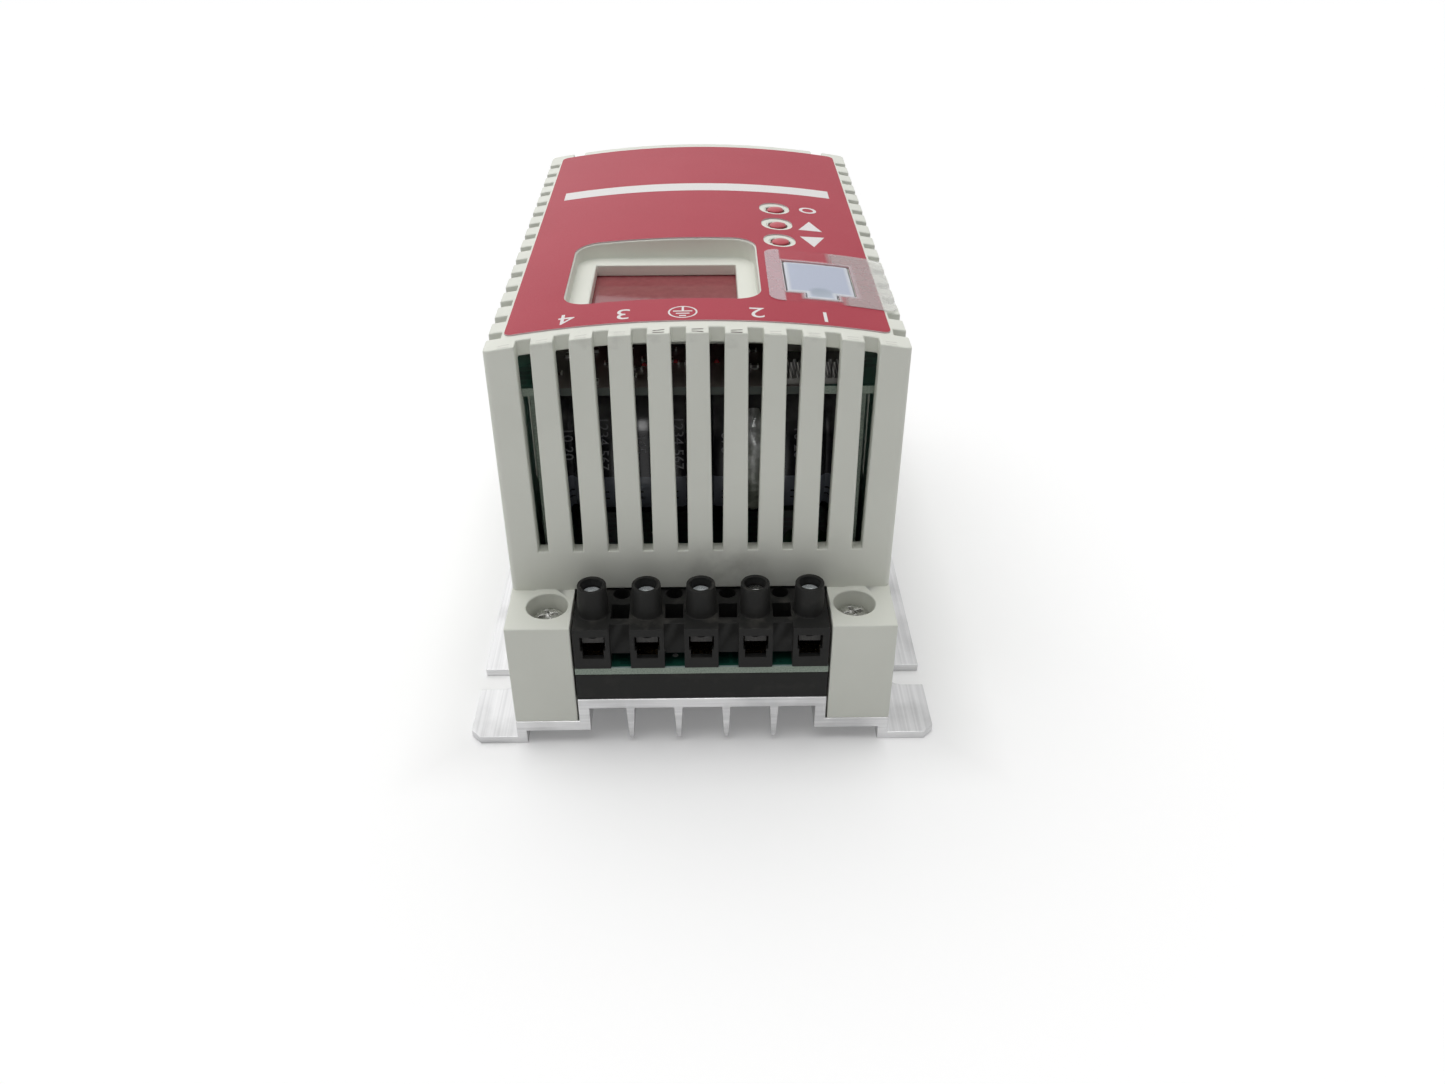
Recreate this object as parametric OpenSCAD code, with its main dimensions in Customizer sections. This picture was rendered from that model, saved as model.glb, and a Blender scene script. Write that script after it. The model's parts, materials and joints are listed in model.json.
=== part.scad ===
// Compact variable frequency drive, lying on its mounting plane.
// The line terminals face the front (-Y), the label and keys face up (+Z).
// The origin is the middle of the mounting plane, and all sizes are in millimetres.

/* [Heatsink] */
// Length of the extruded heatsink
sink_l = 146; // [136:0.5:170]
// Width over both mounting feet
sink_w = 93; // [90:0.5:104]
// Thickness of a mounting foot
foot_t = 1.8; // [1.4:0.1:2.6]
// Thickness of the upright wall between a foot and its shelf
riser_t = 2; // [1.5:0.1:3]
// Height of the shelves that carry the housing
shelf_top = 5.7; // [5:0.1:7]
// Thickness of the shelves
shelf_t = 2.5; // [2:0.1:3]
// Rise of the raised centre plate over the shelves
plate_rise = 5.6; // [4.5:0.1:7]
// Thickness of the raised centre plate
plate_t = 2.4; // [2:0.1:3]
// Thickness of the webs beside the centre plate
web_t = 2.2; // [1.6:0.1:2.8]
// Number of cooling fins
fin_count = 4; // [2:1:5]
// Distance from fin to fin
fin_pitch = 9.45; // [7:0.05:10]
// Thickness of a fin at its root
fin_root = 1.8; // [1.2:0.1:2.4]
// Thickness of a fin at its tip
fin_tip = 0.9; // [0.6:0.1:1.2]
// Gap between the fin tips and the mounting plane
fin_gap = 1.2; // [0.6:0.1:2]
// Width of the open mounting slots
slot_w = 6.3; // [5:0.1:7]
// Distance between the slots along the length
slot_pitch_y = 111; // [100:0.5:120]
// Distance from the outer edge of a foot to the round end of its slots
slot_depth = 4.3; // [3:0.1:5]
// Corner chamfer of the feet
foot_chamfer = 2; // [0.5:0.1:4]

/* [Housing] */
// Width of the housing
body_w = 74; // [72:0.2:77]
// Height of the side walls over the shelves
body_h = 73.8; // [68:0.1:90]
// Rise of the arched top across the width
crown = 3.3; // [1.5:0.1:5]
// Thickness of the side walls
side_t = 2.6; // [2:0.1:3]
// Thickness of the end walls
end_t = 2.8; // [2.2:0.1:3.4]
// Thickness of the arched top
top_t = 3; // [2.4:0.1:3.6]
// Depth of the ledge at the line terminals
front_step = 12.4; // [11.8:0.1:16]
// Depth of the ledge at the motor terminals
rear_step = 16.6; // [12.4:0.1:20]
// Gap between a corner leg and the terminal block
leg_gap = 0.4; // [0.3:0.1:1.2]
// Height of a corner leg over the shelves
leg_h = 23.2; // [22:0.1:28]
// Radius of the upright edges
edge_r = 1.2; // [0.4:0.1:2]

/* [Vents] */
// Number of slots in the front wall
vent_count = 10; // [4:2:10]
// Distance from a side to the middle of the outer slot in the end walls
vent_side = 6.94; // [6.5:0.02:12]
// Slot width at the top edge
vent_top_w = 2.7; // [2:0.1:3.2]
// Slot width at the lower end
vent_low_w = 1.9; // [1.4:0.1:2.4]
// Height of the lower slot ends over the legs
vent_sill = 9; // [6:0.1:20]
// Number of slots in each side wall
side_vent_count = 15; // [5:1:15]
// Distance from the front edge to the middle of the first slot in the side walls
side_vent_front = 6.3; // [6:0.1:12]
// Distance from the rear edge to the middle of the last slot in the side walls
side_vent_rear = 8.5; // [6:0.1:14]

/* [Label] */
// Bare margin between the label and the sides
label_side = 3.1; // [3:0.1:5]
// Bare margin between the label and the front edge
label_front = 4.9; // [3.5:0.1:8]
// Bare margin between the label and the rear edge
label_rear = 3.7; // [3.3:0.1:8]
// Thickness of the label
label_t = 0.25; // [0.1:0.05:0.5]
// Corner radius of the label
label_r = 1.5; // [0.5:0.1:3]

/* [Display] */
// Margin between the left side and the display recess
display_left = 12.7; // [10:0.1:14]
// Margin between the right side and the display recess
display_right = 25.6; // [25.2:0.1:28]
// Distance from the front edge to the middle of the display
display_y = 30.75; // [30:0.05:34]
// Length of the display recess
recess_l = 31.7; // [30:0.1:33]
// Corner radius of the display recess
recess_r = 4.5; // [2:0.1:6]
// Depth of the recess floor under the middle of the top
recess_d = 4.1; // [3.6:0.1:4.6]
// Width of the rim between recess wall and window opening
recess_rim = 3.8; // [3:0.1:5]
// Thickness of the recess floor over the window pane
window_drop = 2.35; // [1.8:0.05:2.8]
// Thickness of the window pane
window_t = 1.5; // [1:0.1:2]

/* [Keys] */
// Distance from the right side to the middle of the keys
key_side = 20.15; // [19:0.05:20.2]
// Distance from the front edge to the nearest key
key_y = 46.5; // [46:0.1:49]
// Distance from key to key
key_pitch = 10.1; // [9:0.1:11]
// Radius of a key cap
key_r = 1.75; // [1.4:0.05:1.9]
// Radius of the dish around a key
dish_r = 2.25; // [2.15:0.05:2.6]
// Depth of the dish around a key
dish_d = 0.4; // [0.2:0.1:0.8]
// Travel of a key
key_travel = 0.5; // [0.2:0.05:0.8]

/* [Memory module] */
// Distance from the right side to the middle of the module
module_side = 14.1; // [13.6:0.05:14.3]
// Distance from the front edge to the front of the module body
module_y = 19.4; // [19.1:0.1:21]
// Width of the module
module_w = 12.6; // [10:0.1:13]
// Length of the module body
module_l = 15; // [12:0.1:15.4]
// Width of the finger tab
tab_w = 5.6; // [4:0.1:7]
// Length of the finger tab
tab_l = 2.5; // [1.5:0.1:2.7]

/* [Boards] */
// Thickness of the circuit boards
pcb_t = 1.6; // [1:0.1:2]
// Height of the insulator under the power board
insulator_h = 6.2; // [5.4:0.1:7]
// Depth of the control board under the upper side edges
control_drop = 8.6; // [8.3:0.1:9.2]
// Diameter of a bus capacitor
can_d = 30; // [24:0.5:30.5]
// Gap between two facing bus capacitors
can_gap = 4.6; // [2:0.1:10]

/* [Terminals] */
// Number of line terminals
line_poles = 5; // [3:1:5]
// Number of motor terminals
motor_poles = 4; // [3:1:5]
// Distance from pole to pole
pole_pitch = 10.3; // [9.9:0.05:10.4]
// Width of a pole
pole_w = 6.5; // [6.3:0.1:6.8]
// Thickness of the wall at each end of a terminal block
end_wall = 0.45; // [0.3:0.05:0.8]
// Depth of a terminal block along the wire
block_d = 13.8; // [13.4:0.1:14.2]
// Height of the terminal deck over the board
deck_h = 9.4; // [9:0.1:9.8]
// Height of a screw tower over the deck
tower_h = 6.35; // [5:0.05:8]
// Radius of a screw tower at its top
tower_top_r = 2.75; // [2.6:0.05:2.9]
// Radius of a screw tower at its foot
tower_foot_r = 2.95; // [2.9:0.05:3.2]
// Number of control terminals
control_poles = 12; // [6:1:12]
// Distance from control terminal to control terminal
control_pitch = 3.5; // [3.2:0.1:3.5]

/* [Hidden] */
$fn = 64;

// Clearances
glue_gap = 0.03;
fit_gap = 0.2;
run_gap = 0.3;
cut = 1;

// Heights of the stack
plate_top = shelf_top + plate_rise;
power_z = plate_top + insulator_h;
power_top = power_z + pcb_t;
side_top = shelf_top + body_h;
crest = side_top + crown;
leg_top = shelf_top + leg_h;
control_top = side_top - control_drop;
control_z = control_top - pcb_t;

// Lengths and widths of the housing
front = -sink_l / 2;
rear = sink_l / 2;
body_front = front + front_step;
body_rear = rear - rear_step;
body_l = body_rear - body_front;
body_mid = (body_front + body_rear) / 2;
half_w = body_w / 2;
inner_w = half_w - side_t;
slot_pitch_x = sink_w - 2 * slot_depth;
inner_front = body_front + end_t;
inner_rear = body_rear - end_t;
leg_in = (line_poles - 1) / 2 * pole_pitch + pole_w / 2 + end_wall + leg_gap;
leg_w = half_w - leg_in;
tongue_w = 2 * (leg_in - run_gap);
block_gap = 0.6;
wall_foot = power_top + deck_h + block_gap;

// Slots of the end walls, which end lower above the control terminals
vent_pitch = (body_w - 2 * vent_side) / (vent_count - 1);
side_vent_pitch = (body_l - side_vent_front - side_vent_rear) / (side_vent_count - 1);
vent_bar = 4;
vent_post = 3;

// The arched top is one cylinder along the length
crown_r = (half_w * half_w + crown * crown) / (2 * crown);
crown_z = crest - crown_r;
crown_fn = 720;
function top_at(x) = crown_z + sqrt(crown_r * crown_r - x * x);

// Display window
recess_w = body_w - display_left - display_right;
display_x = (display_left - display_right) / 2;
window_w = recess_w - 2 * recess_rim;
window_l = recess_l - 2 * recess_rim;
display_at = body_front + display_y;
recess_z = crest - recess_d;
pane_top = recess_z - window_drop;
pane_z = pane_top - window_t;
pane_edge = 1.2;
pane_w = window_w + 2 * pane_edge;
pane_l = window_l + 2 * pane_edge;
recess_wall = 2.2;
digit_side = 1.2;
digit_end = 2.5;

// Keys and their switches
key_x = half_w - key_side;
key_proud = 0.4;
key_dome = 0.3;
key_dome_r = (key_r * key_r + key_dome * key_dome) / (2 * key_dome);
label_shift = 0.2;
key_seat = top_at(key_x + key_r) - top_t - 0.4;
flange_h = 1;
flange_w = 0.8;
dish_wall = 1.65;
dish_land = 1.03;
hole_w = 2 * (dish_r + dish_land);
hole_l = hole_w + 0.9;
hole_r = hole_w / 2 - 0.02;
switch_w = 6;
switch_h = 3.4;
plunger_r = 1.6;
plunger_h = 1;
plunger_top = control_top + switch_h + plunger_h;
function key_at(i) = body_front + key_y + i * key_pitch;

// Memory module and its socket
module_x = half_w - module_side;
module_front = body_front + module_y;
module_mid = module_front + module_l / 2;
socket_wall = 1.6;
socket_floor = 1.4;
socket_h = 5;
module_z = control_top + socket_floor + 0.1;
tab_t = 4;
film_t = 0.12;
film_left = 3.5;
film_right = 0.4;
film_front = 2.3;
film_rear = 6.3;
film_corner = 2.4;
grip_r = 11.2;
grip_d = 0.25;
grip_y = 0.5;
grip_lean = asin(module_x / crown_r);

// Housing screws stand in the legs
bore_r = 4;
bore_wall = 0.85;
screw_x = leg_in + bore_wall + bore_r;
screw_end = 7.3;
screw_y = sink_l / 2 - screw_end;
bore_d = 4.55;
head_r = 3.4;
head_h = 2.3;
shank_r = 1.9;
shank_reach = 1.6;

// Circuit boards
board_gap = 0.6;
board_w = 2 * (inner_w - board_gap);
board_front = inner_front + board_gap;
board_rear = inner_rear - board_gap;
side_board_gap = 4.1;
side_board_x = inner_w - side_board_gap;
side_board_l = 72;
side_board_front = inner_front + 2;
side_board_h = control_z - run_gap - power_top;
post_side = 11.2;
post_x = half_w - post_side;
post_r = 3;
post_front_in = 10.4;
post_step = 12;
post_rear_in = 12;
post_front = inner_front + post_front_in;
post_rear = inner_rear - post_rear_in;
post_at = [[-post_x, post_front + post_step], [post_x, post_front], [-post_x, post_rear], [post_x, post_rear]];
post_spare = 0.7;
board_screw_r = 1.2;
board_screw_reach = 5.5;
board_head_r = 2.5;
board_head_h = 1.8;
power_screw_side = 5.5;
power_screw_end = 6;
power_screw_x = leg_in - power_screw_side;
power_screw_front = inner_front + power_screw_end;
power_screw_rear = inner_rear - power_screw_end;
power_w = 40;
power_l = 34;
power_y = 4;
pad_t = 0.4;

// Bus capacitors lie across the housing on the side boards
can_r = can_d / 2;
can_drop = 2.8;
can_front = 2.7;
can_space = 1.5;
can_z = control_z - can_drop - can_r;
can_first = inner_front + can_front + can_r;
can_step = can_d + can_space;
can_out = side_board_x - pcb_t;
can_l = can_out - can_gap / 2;

// Terminal poles, measured from the wire face inward and from the board upward
span_back = 1.9;
span_foot = 2.3;
wire_w = 4.7;
wire_high = 7.6;
wire_step = 4.5;
entry_w = 4;
entry_low = 2.5;
cell_w = 5;
cell_front = 1.2;
cell_rear = 10.3;
cell_low = 1;
cell_high = deck_h - 0.6;
tower_at = 5.9;
tower_bore_r = 2.05;
sleeve_bore_r = 1.8;
screw_seat = deck_h + 2.5;
screw_head_r = 1.85;
screw_head_h = 2;
screw_shank_r = 1;
screw_slot_w = 0.6;
screw_slot_d = 0.8;
screw_tip = 6;
leaf_w = 4.2;
leaf_low = 5.2;
leaf_high = 7.8;
leaf_front = 1.5;
leaf_rear = 9.4;
groove_r = 1.55;
sleeve_low = (leaf_low + leaf_high - groove_r) / 2;
sleeve_r = 1.65;
bar_low = 1.2;
bar_t = 1;
bar_w = 4.6;
leg_pin_w = 1.4;
deck_hole_w = 3.45;
deck_hole_l = 4.4;
deck_hole_d = 5;
deck_round_r = 1.65;
deck_round_at = 11.5;
function pole_x(i, n) = (i - (n + 1) / 2) * pole_pitch;

// Control terminals open through the rear wall
strip_w = control_poles * control_pitch;
strip_h = 11.5;
strip_in = 9;
strip_front = inner_rear - strip_in;
strip_out = 1;
strip_z = control_z - strip_h;
strip_gap = 0.5;
strip_screw_r = 1.1;
strip_screw_h = 2.2;
strip_screw_z = 8.2;
strip_wire_w = 2.4;
strip_wire_z = 3.6;
strip_hole_d = 6;
function control_x(i) = (i - (control_poles + 1) / 2) * control_pitch;

// Parts on the power board
part_gap = 1;
link_w = 32;
link_t = 2.5;
link_y = strip_front - part_gap - link_t / 2;
relay_w = 19;
relay_l = 15.4;
relay_h = 15.2;
relay_x = -side_board_x + pcb_t + 2 + relay_w / 2;
relay_y = link_y - link_t / 2 - part_gap - relay_l / 2;
choke_r = 11;
choke_bore_r = 5.5;
choke_h = 9;
wind_t = 0.9;
wind_count = 16;
wind_gap = 0.1;
choke_x = side_board_x - pcb_t - part_gap - wind_t - choke_r;
choke_y = link_y - link_t / 2 - part_gap - wind_t - choke_r;
film_w = 7;
film_l = 18;
film_h = 13;
film_pitch = 10;
film_x = -side_board_x + pcb_t + part_gap + film_w / 2;
film_y = relay_y - relay_l / 2 - part_gap - film_l / 2;
thermistor_r = 6;
thermistor_t = 4;
thermistor_x = side_board_x - pcb_t - part_gap - thermistor_r;
thermistor_in = 14;
thermistor_y = inner_front + thermistor_in;
trafo_w = 20;
trafo_l = 18;
trafo_h = 17;
trafo_flange = 3;
trafo_x = 6;
trafo_y = choke_y - choke_r - wind_t - part_gap - trafo_l / 2;
header_pins = 10;
header_pitch = 1.27;
header_side = 23.4;
header_x = half_w - header_side;
header_d = 4.6;
header_h = 4.4;
chip_w = 14;
chip_t = 1.4;
chip_side = 24;
chip_rear = 34.6;
chip_x = chip_side - half_w;
chip_y = inner_rear - chip_rear;

// Colours
housing_grey = [0.86, 0.86, 0.83];
label_red = [0.66, 0.13, 0.2];
mill_aluminium = [0.83, 0.84, 0.86];
terminal_black = [0.09, 0.085, 0.085];
board_green = [0.06, 0.26, 0.17];
zinc = [0.72, 0.73, 0.74];
sleeve_black = [0.06, 0.06, 0.07];

// Rounded rectangle from true arcs
module round_rect(w, l, r) {
    square([w - 2 * r, l], center = true);
    square([w, l - 2 * r], center = true);
    for (x = [-1, 1], y = [-1, 1]) translate([x * (w / 2 - r), y * (l / 2 - r)]) circle(r = r);
}

// Outline in X and Z, extruded from y0 to y1
module along(y0, y1) {
    translate([0, y1, 0]) rotate([90, 0, 0]) linear_extrude(y1 - y0) children();
}

// Solid under an arch of the given radius around the crown axis
module arched(r, w, y0, y1, z0) {
    along(y0, y1) intersection() {
        translate([0, crown_z]) circle(r = r, $fn = crown_fn);
        translate([-w / 2, z0]) square([w, 2 * crest]);
    }
}

// Box given by its corners
module span_box(x0, x1, y0, y1, z0, z1) {
    translate([x0, y0, z0]) cube([x1 - x0, y1 - y0, z1 - z0]);
}

module heatsink() {
    color(mill_aluminium) difference() {
        along(front, rear) {
            fin_low = plate_top - plate_t;
            foot_in = half_w - riser_t;
            plate_half = leg_in - run_gap;
            for (s = [0, 1]) mirror([s, 0]) {
                translate([foot_in, 0]) square([sink_w / 2 - foot_in, foot_t]);
                translate([foot_in, 0]) square([riser_t, shelf_top]);
                translate([plate_half - web_t, shelf_top - shelf_t])
                    square([half_w - plate_half + web_t, shelf_t]);
                translate([plate_half - web_t, shelf_top - shelf_t])
                    square([web_t, plate_top - shelf_top + shelf_t]);
            }
            translate([-plate_half, fin_low]) square([2 * plate_half, plate_t]);
            for (i = [1:fin_count]) translate([(i - (fin_count + 1) / 2) * fin_pitch, 0])
                polygon([[-fin_root / 2, fin_low + 0.1], [-fin_tip / 2, fin_gap],
                         [fin_tip / 2, fin_gap], [fin_root / 2, fin_low + 0.1]]);
        }
        for (x = [-1, 1], y = [-1, 1]) {
            translate([x * slot_pitch_x / 2, y * slot_pitch_y / 2, -cut])
                cylinder(r = slot_w / 2, h = foot_t + 2 * cut);
            translate([x * (slot_pitch_x / 2 + sink_w / 4), y * slot_pitch_y / 2, foot_t / 2])
                cube([sink_w / 2, slot_w, foot_t + 2 * cut], center = true);
            translate([x * sink_w / 2, y * sink_l / 2, foot_t / 2]) rotate(45)
                cube([foot_chamfer * sqrt(2), foot_chamfer * sqrt(2), foot_t + 2 * cut], center = true);
            translate([x * screw_x, y * screw_y, 0]) cylinder(r = shank_r + 0.1, h = shelf_top + cut);
        }
        for (x = [-1, 1], y = [power_screw_front, power_screw_rear])
            translate([x * power_screw_x, y, 0]) cylinder(r = board_screw_r + 0.1, h = plate_top + cut);
    }
}

// Slot outline from its lower end up through the top edge
module vent_outline() {
    low = leg_top + vent_sill;
    high = crest + cut;
    polygon([[-vent_low_w / 2, low], [vent_low_w / 2, low],
             [vent_top_w / 2, high], [-vent_top_w / 2, high]]);
}

module side_vents() {
    first = body_front + side_vent_front;
    for (s = [0, 1], i = [0:side_vent_count - 1])
        mirror([s, 0, 0]) translate([inner_w, first + i * side_vent_pitch, 0])
            rotate([90, 0, 90]) linear_extrude(side_t + cut) vent_outline();
}

module end_vents() {
    for (i = [1:vent_count]) {
        x = (i - (vent_count + 1) / 2) * vent_pitch;
        translate([x, 0, 0]) {
            along(body_front - cut, inner_front) vent_outline();
            rear_top = abs(x) < strip_w / 2 + vent_post ? strip_z - vent_bar : crest + cut;
            along(inner_rear, body_rear + cut) intersection() {
                vent_outline();
                translate([-vent_pitch / 2, 0]) square([vent_pitch, rear_top]);
            }
        }
    }
}

module leg(x0, y0, y1) {
    translate([x0, y0, shelf_top]) cube([leg_w, y1 - y0, leg_h]);
}

module housing_shell() {
    intersection() {
        arched(crown_r, body_w + 2 * cut, body_front - cut, body_rear + cut, 0);
        translate([0, body_mid, shelf_top]) linear_extrude(crest) round_rect(body_w, body_l, edge_r);
    }
    for (s = [0, 1]) mirror([s, 0, 0]) {
        leg(leg_in, front, inner_front);
        leg(leg_in, inner_rear, rear);
    }
}

module housing_bosses() {
    intersection() {
        union() {
            translate([display_x, display_at, pane_z]) linear_extrude(crest)
                square([recess_w + 2 * recess_wall, recess_l + 2 * recess_wall], center = true);
            for (i = [0:2]) translate([key_x, key_at(i), key_seat])
                cylinder(r = dish_r + dish_wall, h = top_t + 2);
            for (at = post_at) translate([at[0], at[1], control_top]) cylinder(r = post_r, h = crest);
        }
        arched(crown_r - top_t / 2, body_w - side_t, inner_front, inner_rear, control_top);
    }
}

// Plan of the memory module, grown by a gap
module module_plan(gap) {
    translate([module_x, module_mid]) square([module_w + 2 * gap, module_l + 2 * gap], center = true);
    translate([module_x, module_front - tab_l / 2 + cut / 2])
        square([tab_w + 2 * gap, tab_l + cut + 2 * gap], center = true);
}

module housing() {
    color(housing_grey) difference() {
        union() {
            difference() {
                housing_shell();
                arched(crown_r - top_t, 2 * inner_w, inner_front, inner_rear, shelf_top - cut);
            }
            housing_bosses();
        }
        translate([display_x, display_at, 0]) {
            translate([0, 0, recess_z]) linear_extrude(crest) round_rect(recess_w, recess_l, recess_r);
            translate([0, 0, pane_z - cut]) linear_extrude(crest)
                square([window_w, window_l], center = true);
            translate([0, 0, pane_z - cut]) linear_extrude(window_t + cut + glue_gap)
                square([pane_w + 2 * fit_gap, pane_l + 2 * fit_gap], center = true);
        }
        for (i = [0:2]) translate([key_x, key_at(i), 0]) {
            translate([0, 0, key_seat - cut]) cylinder(r = key_r + fit_gap, h = crest);
            translate([0, 0, top_at(key_x) - dish_d])
                cylinder(r1 = key_r + fit_gap, r2 = dish_r, h = dish_d);
            translate([0, 0, top_at(key_x)]) cylinder(r = dish_r, h = 2);
        }
        translate([0, 0, control_top]) linear_extrude(crest) module_plan(fit_gap);
        end_vents();
        side_vents();
        span_box(-leg_in, leg_in, front - cut, inner_front + cut, shelf_top - cut, wall_foot);
        span_box(-leg_in, leg_in, inner_rear - cut, rear + cut, shelf_top - cut, wall_foot);
        span_box(-strip_w / 2 - strip_gap, strip_w / 2 + strip_gap, inner_rear - cut, body_rear + cut,
                 strip_z - strip_gap, control_z + 0.2);
        for (x = [-1, 1], y = [-1, 1]) translate([x * screw_x, y * screw_y, 0]) {
            translate([0, 0, leg_top - bore_d]) cylinder(r = bore_r, h = bore_d + cut);
            cylinder(r = shank_r + 0.2, h = leg_top);
        }
        for (at = post_at) translate([at[0], at[1], control_top - cut])
            cylinder(r = board_screw_r + 0.1, h = board_screw_reach + post_spare + cut);
    }
}

module label() {
    label_w = body_w - 2 * label_side;
    y0 = body_front + label_front;
    y1 = body_rear - label_rear;
    color(label_red) difference() {
        intersection() {
            difference() {
                arched(crown_r + glue_gap + label_t, body_w, y0, y1, shelf_top);
                arched(crown_r + glue_gap, body_w + cut, y0 - cut, y1 + cut, shelf_top - cut);
            }
            translate([0, (y0 + y1) / 2, 0]) linear_extrude(2 * crest)
                round_rect(label_w, y1 - y0, label_r);
        }
        translate([display_x, display_at, 0]) linear_extrude(2 * crest)
            round_rect(recess_w + 0.6, recess_l + 0.6, recess_r + 0.3);
        for (i = [0:2]) translate([key_x - label_shift, key_at(i), 0]) linear_extrude(2 * crest)
            round_rect(hole_w, hole_l, hole_r);
        linear_extrude(2 * crest) module_plan(fit_gap + 0.1);
    }
}

module display_window() {
    color([0.25, 0.02, 0.04]) translate([display_x, display_at, pane_z])
        linear_extrude(window_t) square([pane_w, pane_l], center = true);
}

module led_display() {
    digit_w = window_w - 2 * digit_side;
    digit_l = window_l - 2 * digit_end;
    color([0.2, 0.03, 0.04]) translate([display_x - digit_w / 2, display_at - digit_l / 2, control_top])
        cube([digit_w, digit_l, pane_z - run_gap - control_top]);
}

module control_board() {
    color(board_green) difference() {
        span_box(-board_w / 2, board_w / 2, board_front, board_rear, control_z, control_top);
        for (at = post_at) translate([at[0], at[1], control_z - cut])
            cylinder(r = board_screw_r + fit_gap, h = pcb_t + 2 * cut);
    }
}

module key(i) {
    key_top = top_at(key_x) + key_proud;
    flange_top = key_seat - 0.1;
    foot = plunger_top + key_travel + 0.1;
    color(label_red) translate([key_x, key_at(i), 0]) rotate_extrude() {
        translate([0, foot]) square([plunger_r - fit_gap, flange_top - foot]);
        translate([0, flange_top - flange_h]) square([key_r + flange_w, flange_h]);
        intersection() {
            translate([0, flange_top - flange_h]) square([key_r, key_top - flange_top + flange_h]);
            translate([0, key_top - key_dome_r]) circle(r = key_dome_r);
        }
        translate([0, flange_top - flange_h]) square([key_r, key_top - key_dome - flange_top + flange_h]);
    }
}
module key_down() { key(0); }
module key_up() { key(1); }
module key_mode() { key(2); }

module key_switches() {
    color([0.12, 0.12, 0.13]) for (i = [0:2]) translate([key_x, key_at(i), control_top]) {
        translate([-switch_w / 2, -switch_w / 2, 0]) cube([switch_w, switch_w, switch_h]);
        cylinder(r = plunger_r, h = switch_h + plunger_h);
    }
}

module memory_module() {
    color([0.85, 0.9, 0.96]) difference() {
        intersection() {
            arched(crown_r + glue_gap + label_t, body_w, body_front, body_rear, module_z);
            union() {
                translate([module_x - module_w / 2, module_front, module_z])
                    cube([module_w, module_l, crest]);
                translate([module_x - tab_w / 2, module_front - tab_l, top_at(module_x) - tab_t])
                    cube([tab_w, tab_l + cut, crest]);
            }
        }
        translate([module_x, module_front + grip_y, top_at(module_x) + label_t]) rotate([0, grip_lean, 0])
            translate([0, 0, grip_r - grip_d]) sphere(r = grip_r);
    }
}

module module_socket() {
    pocket_w = module_w + 2 * fit_gap;
    pocket_l = module_l + 2 * fit_gap;
    color([0.9, 0.9, 0.88]) difference() {
        translate([module_x, module_mid, control_top]) linear_extrude(socket_h)
            square([pocket_w + 2 * socket_wall, pocket_l + 2 * socket_wall], center = true);
        translate([module_x, module_mid, control_top + socket_floor]) linear_extrude(socket_h)
            square([pocket_w, pocket_l], center = true);
    }
}

module module_film() {
    film_r = crown_r + label_t + 2 * glue_gap;
    x0 = module_x - module_w / 2 - film_left;
    x1 = half_w - film_right;
    y0 = module_front - tab_l - film_front;
    y1 = module_front + module_l + film_rear;
    color([0.9, 0.86, 0.86, 0.5]) difference() {
        intersection() {
            difference() {
                arched(film_r + film_t, body_w, y0, y1, shelf_top);
                arched(film_r, body_w + cut, y0 - cut, y1 + cut, shelf_top - cut);
            }
            translate([(x0 + x1) / 2, (y0 + y1) / 2, 0]) linear_extrude(2 * crest)
                round_rect(x1 - x0, y1 - y0, film_corner);
        }
        linear_extrude(2 * crest) module_plan(fit_gap + 0.1);
    }
}

module controller_chip() {
    color([0.07, 0.07, 0.08]) translate([chip_x - chip_w / 2, chip_y - chip_w / 2, control_top])
        cube([chip_w, chip_w, chip_t]);
}

// Header with a comb of open pin cells along its front
module pin_header() {
    wall = 0.6;
    color([0.9, 0.9, 0.87]) translate([header_x, board_front + wall, control_top]) difference() {
        cube([header_pins * header_pitch + wall, header_d, header_h]);
        for (i = [0:header_pins - 1]) translate([wall + i * header_pitch, -cut, 2 * wall])
            cube([header_pitch - wall, header_d / 4 + cut, header_h]);
    }
}

module power_board() {
    color(board_green) difference() {
        union() {
            span_box(-tongue_w / 2, tongue_w / 2, front + 0.2, rear - 0.2, power_z, power_top);
            span_box(-board_w / 2, board_w / 2, board_front, board_rear, power_z, power_top);
        }
        for (x = [-1, 1], y = [power_screw_front, power_screw_rear])
            translate([x * power_screw_x, y, power_z - cut])
                cylinder(r = board_screw_r + fit_gap, h = pcb_t + 2 * cut);
    }
}

module insulator_frame() {
    color(terminal_black) difference() {
        span_box(-tongue_w / 2, tongue_w / 2, front + 0.1, rear - 0.1, plate_top, power_z);
        translate([0, power_y, plate_top - cut]) linear_extrude(insulator_h + 2 * cut)
            square([power_w + 2 * run_gap, power_l + 2 * run_gap], center = true);
        for (x = [-1, 1], y = [power_screw_front, power_screw_rear])
            translate([x * power_screw_x, y, plate_top - cut])
                cylinder(r = board_screw_r + fit_gap, h = insulator_h + 2 * cut);
    }
}

module power_module() {
    color([0.16, 0.16, 0.17]) translate([-power_w / 2, power_y - power_l / 2, plate_top + pad_t])
        cube([power_w, power_l, insulator_h - pad_t]);
}

module thermal_pad() {
    color([0.75, 0.78, 0.8]) translate([-power_w / 2, power_y - power_l / 2, plate_top])
        cube([power_w, power_l, pad_t]);
}

module side_board(s) {
    x0 = s > 0 ? side_board_x - pcb_t : -side_board_x;
    color(board_green) translate([x0, side_board_front, power_top])
        cube([pcb_t, side_board_l, side_board_h]);
}
module side_board_left() { side_board(-1); }
module side_board_right() { side_board(1); }

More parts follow.
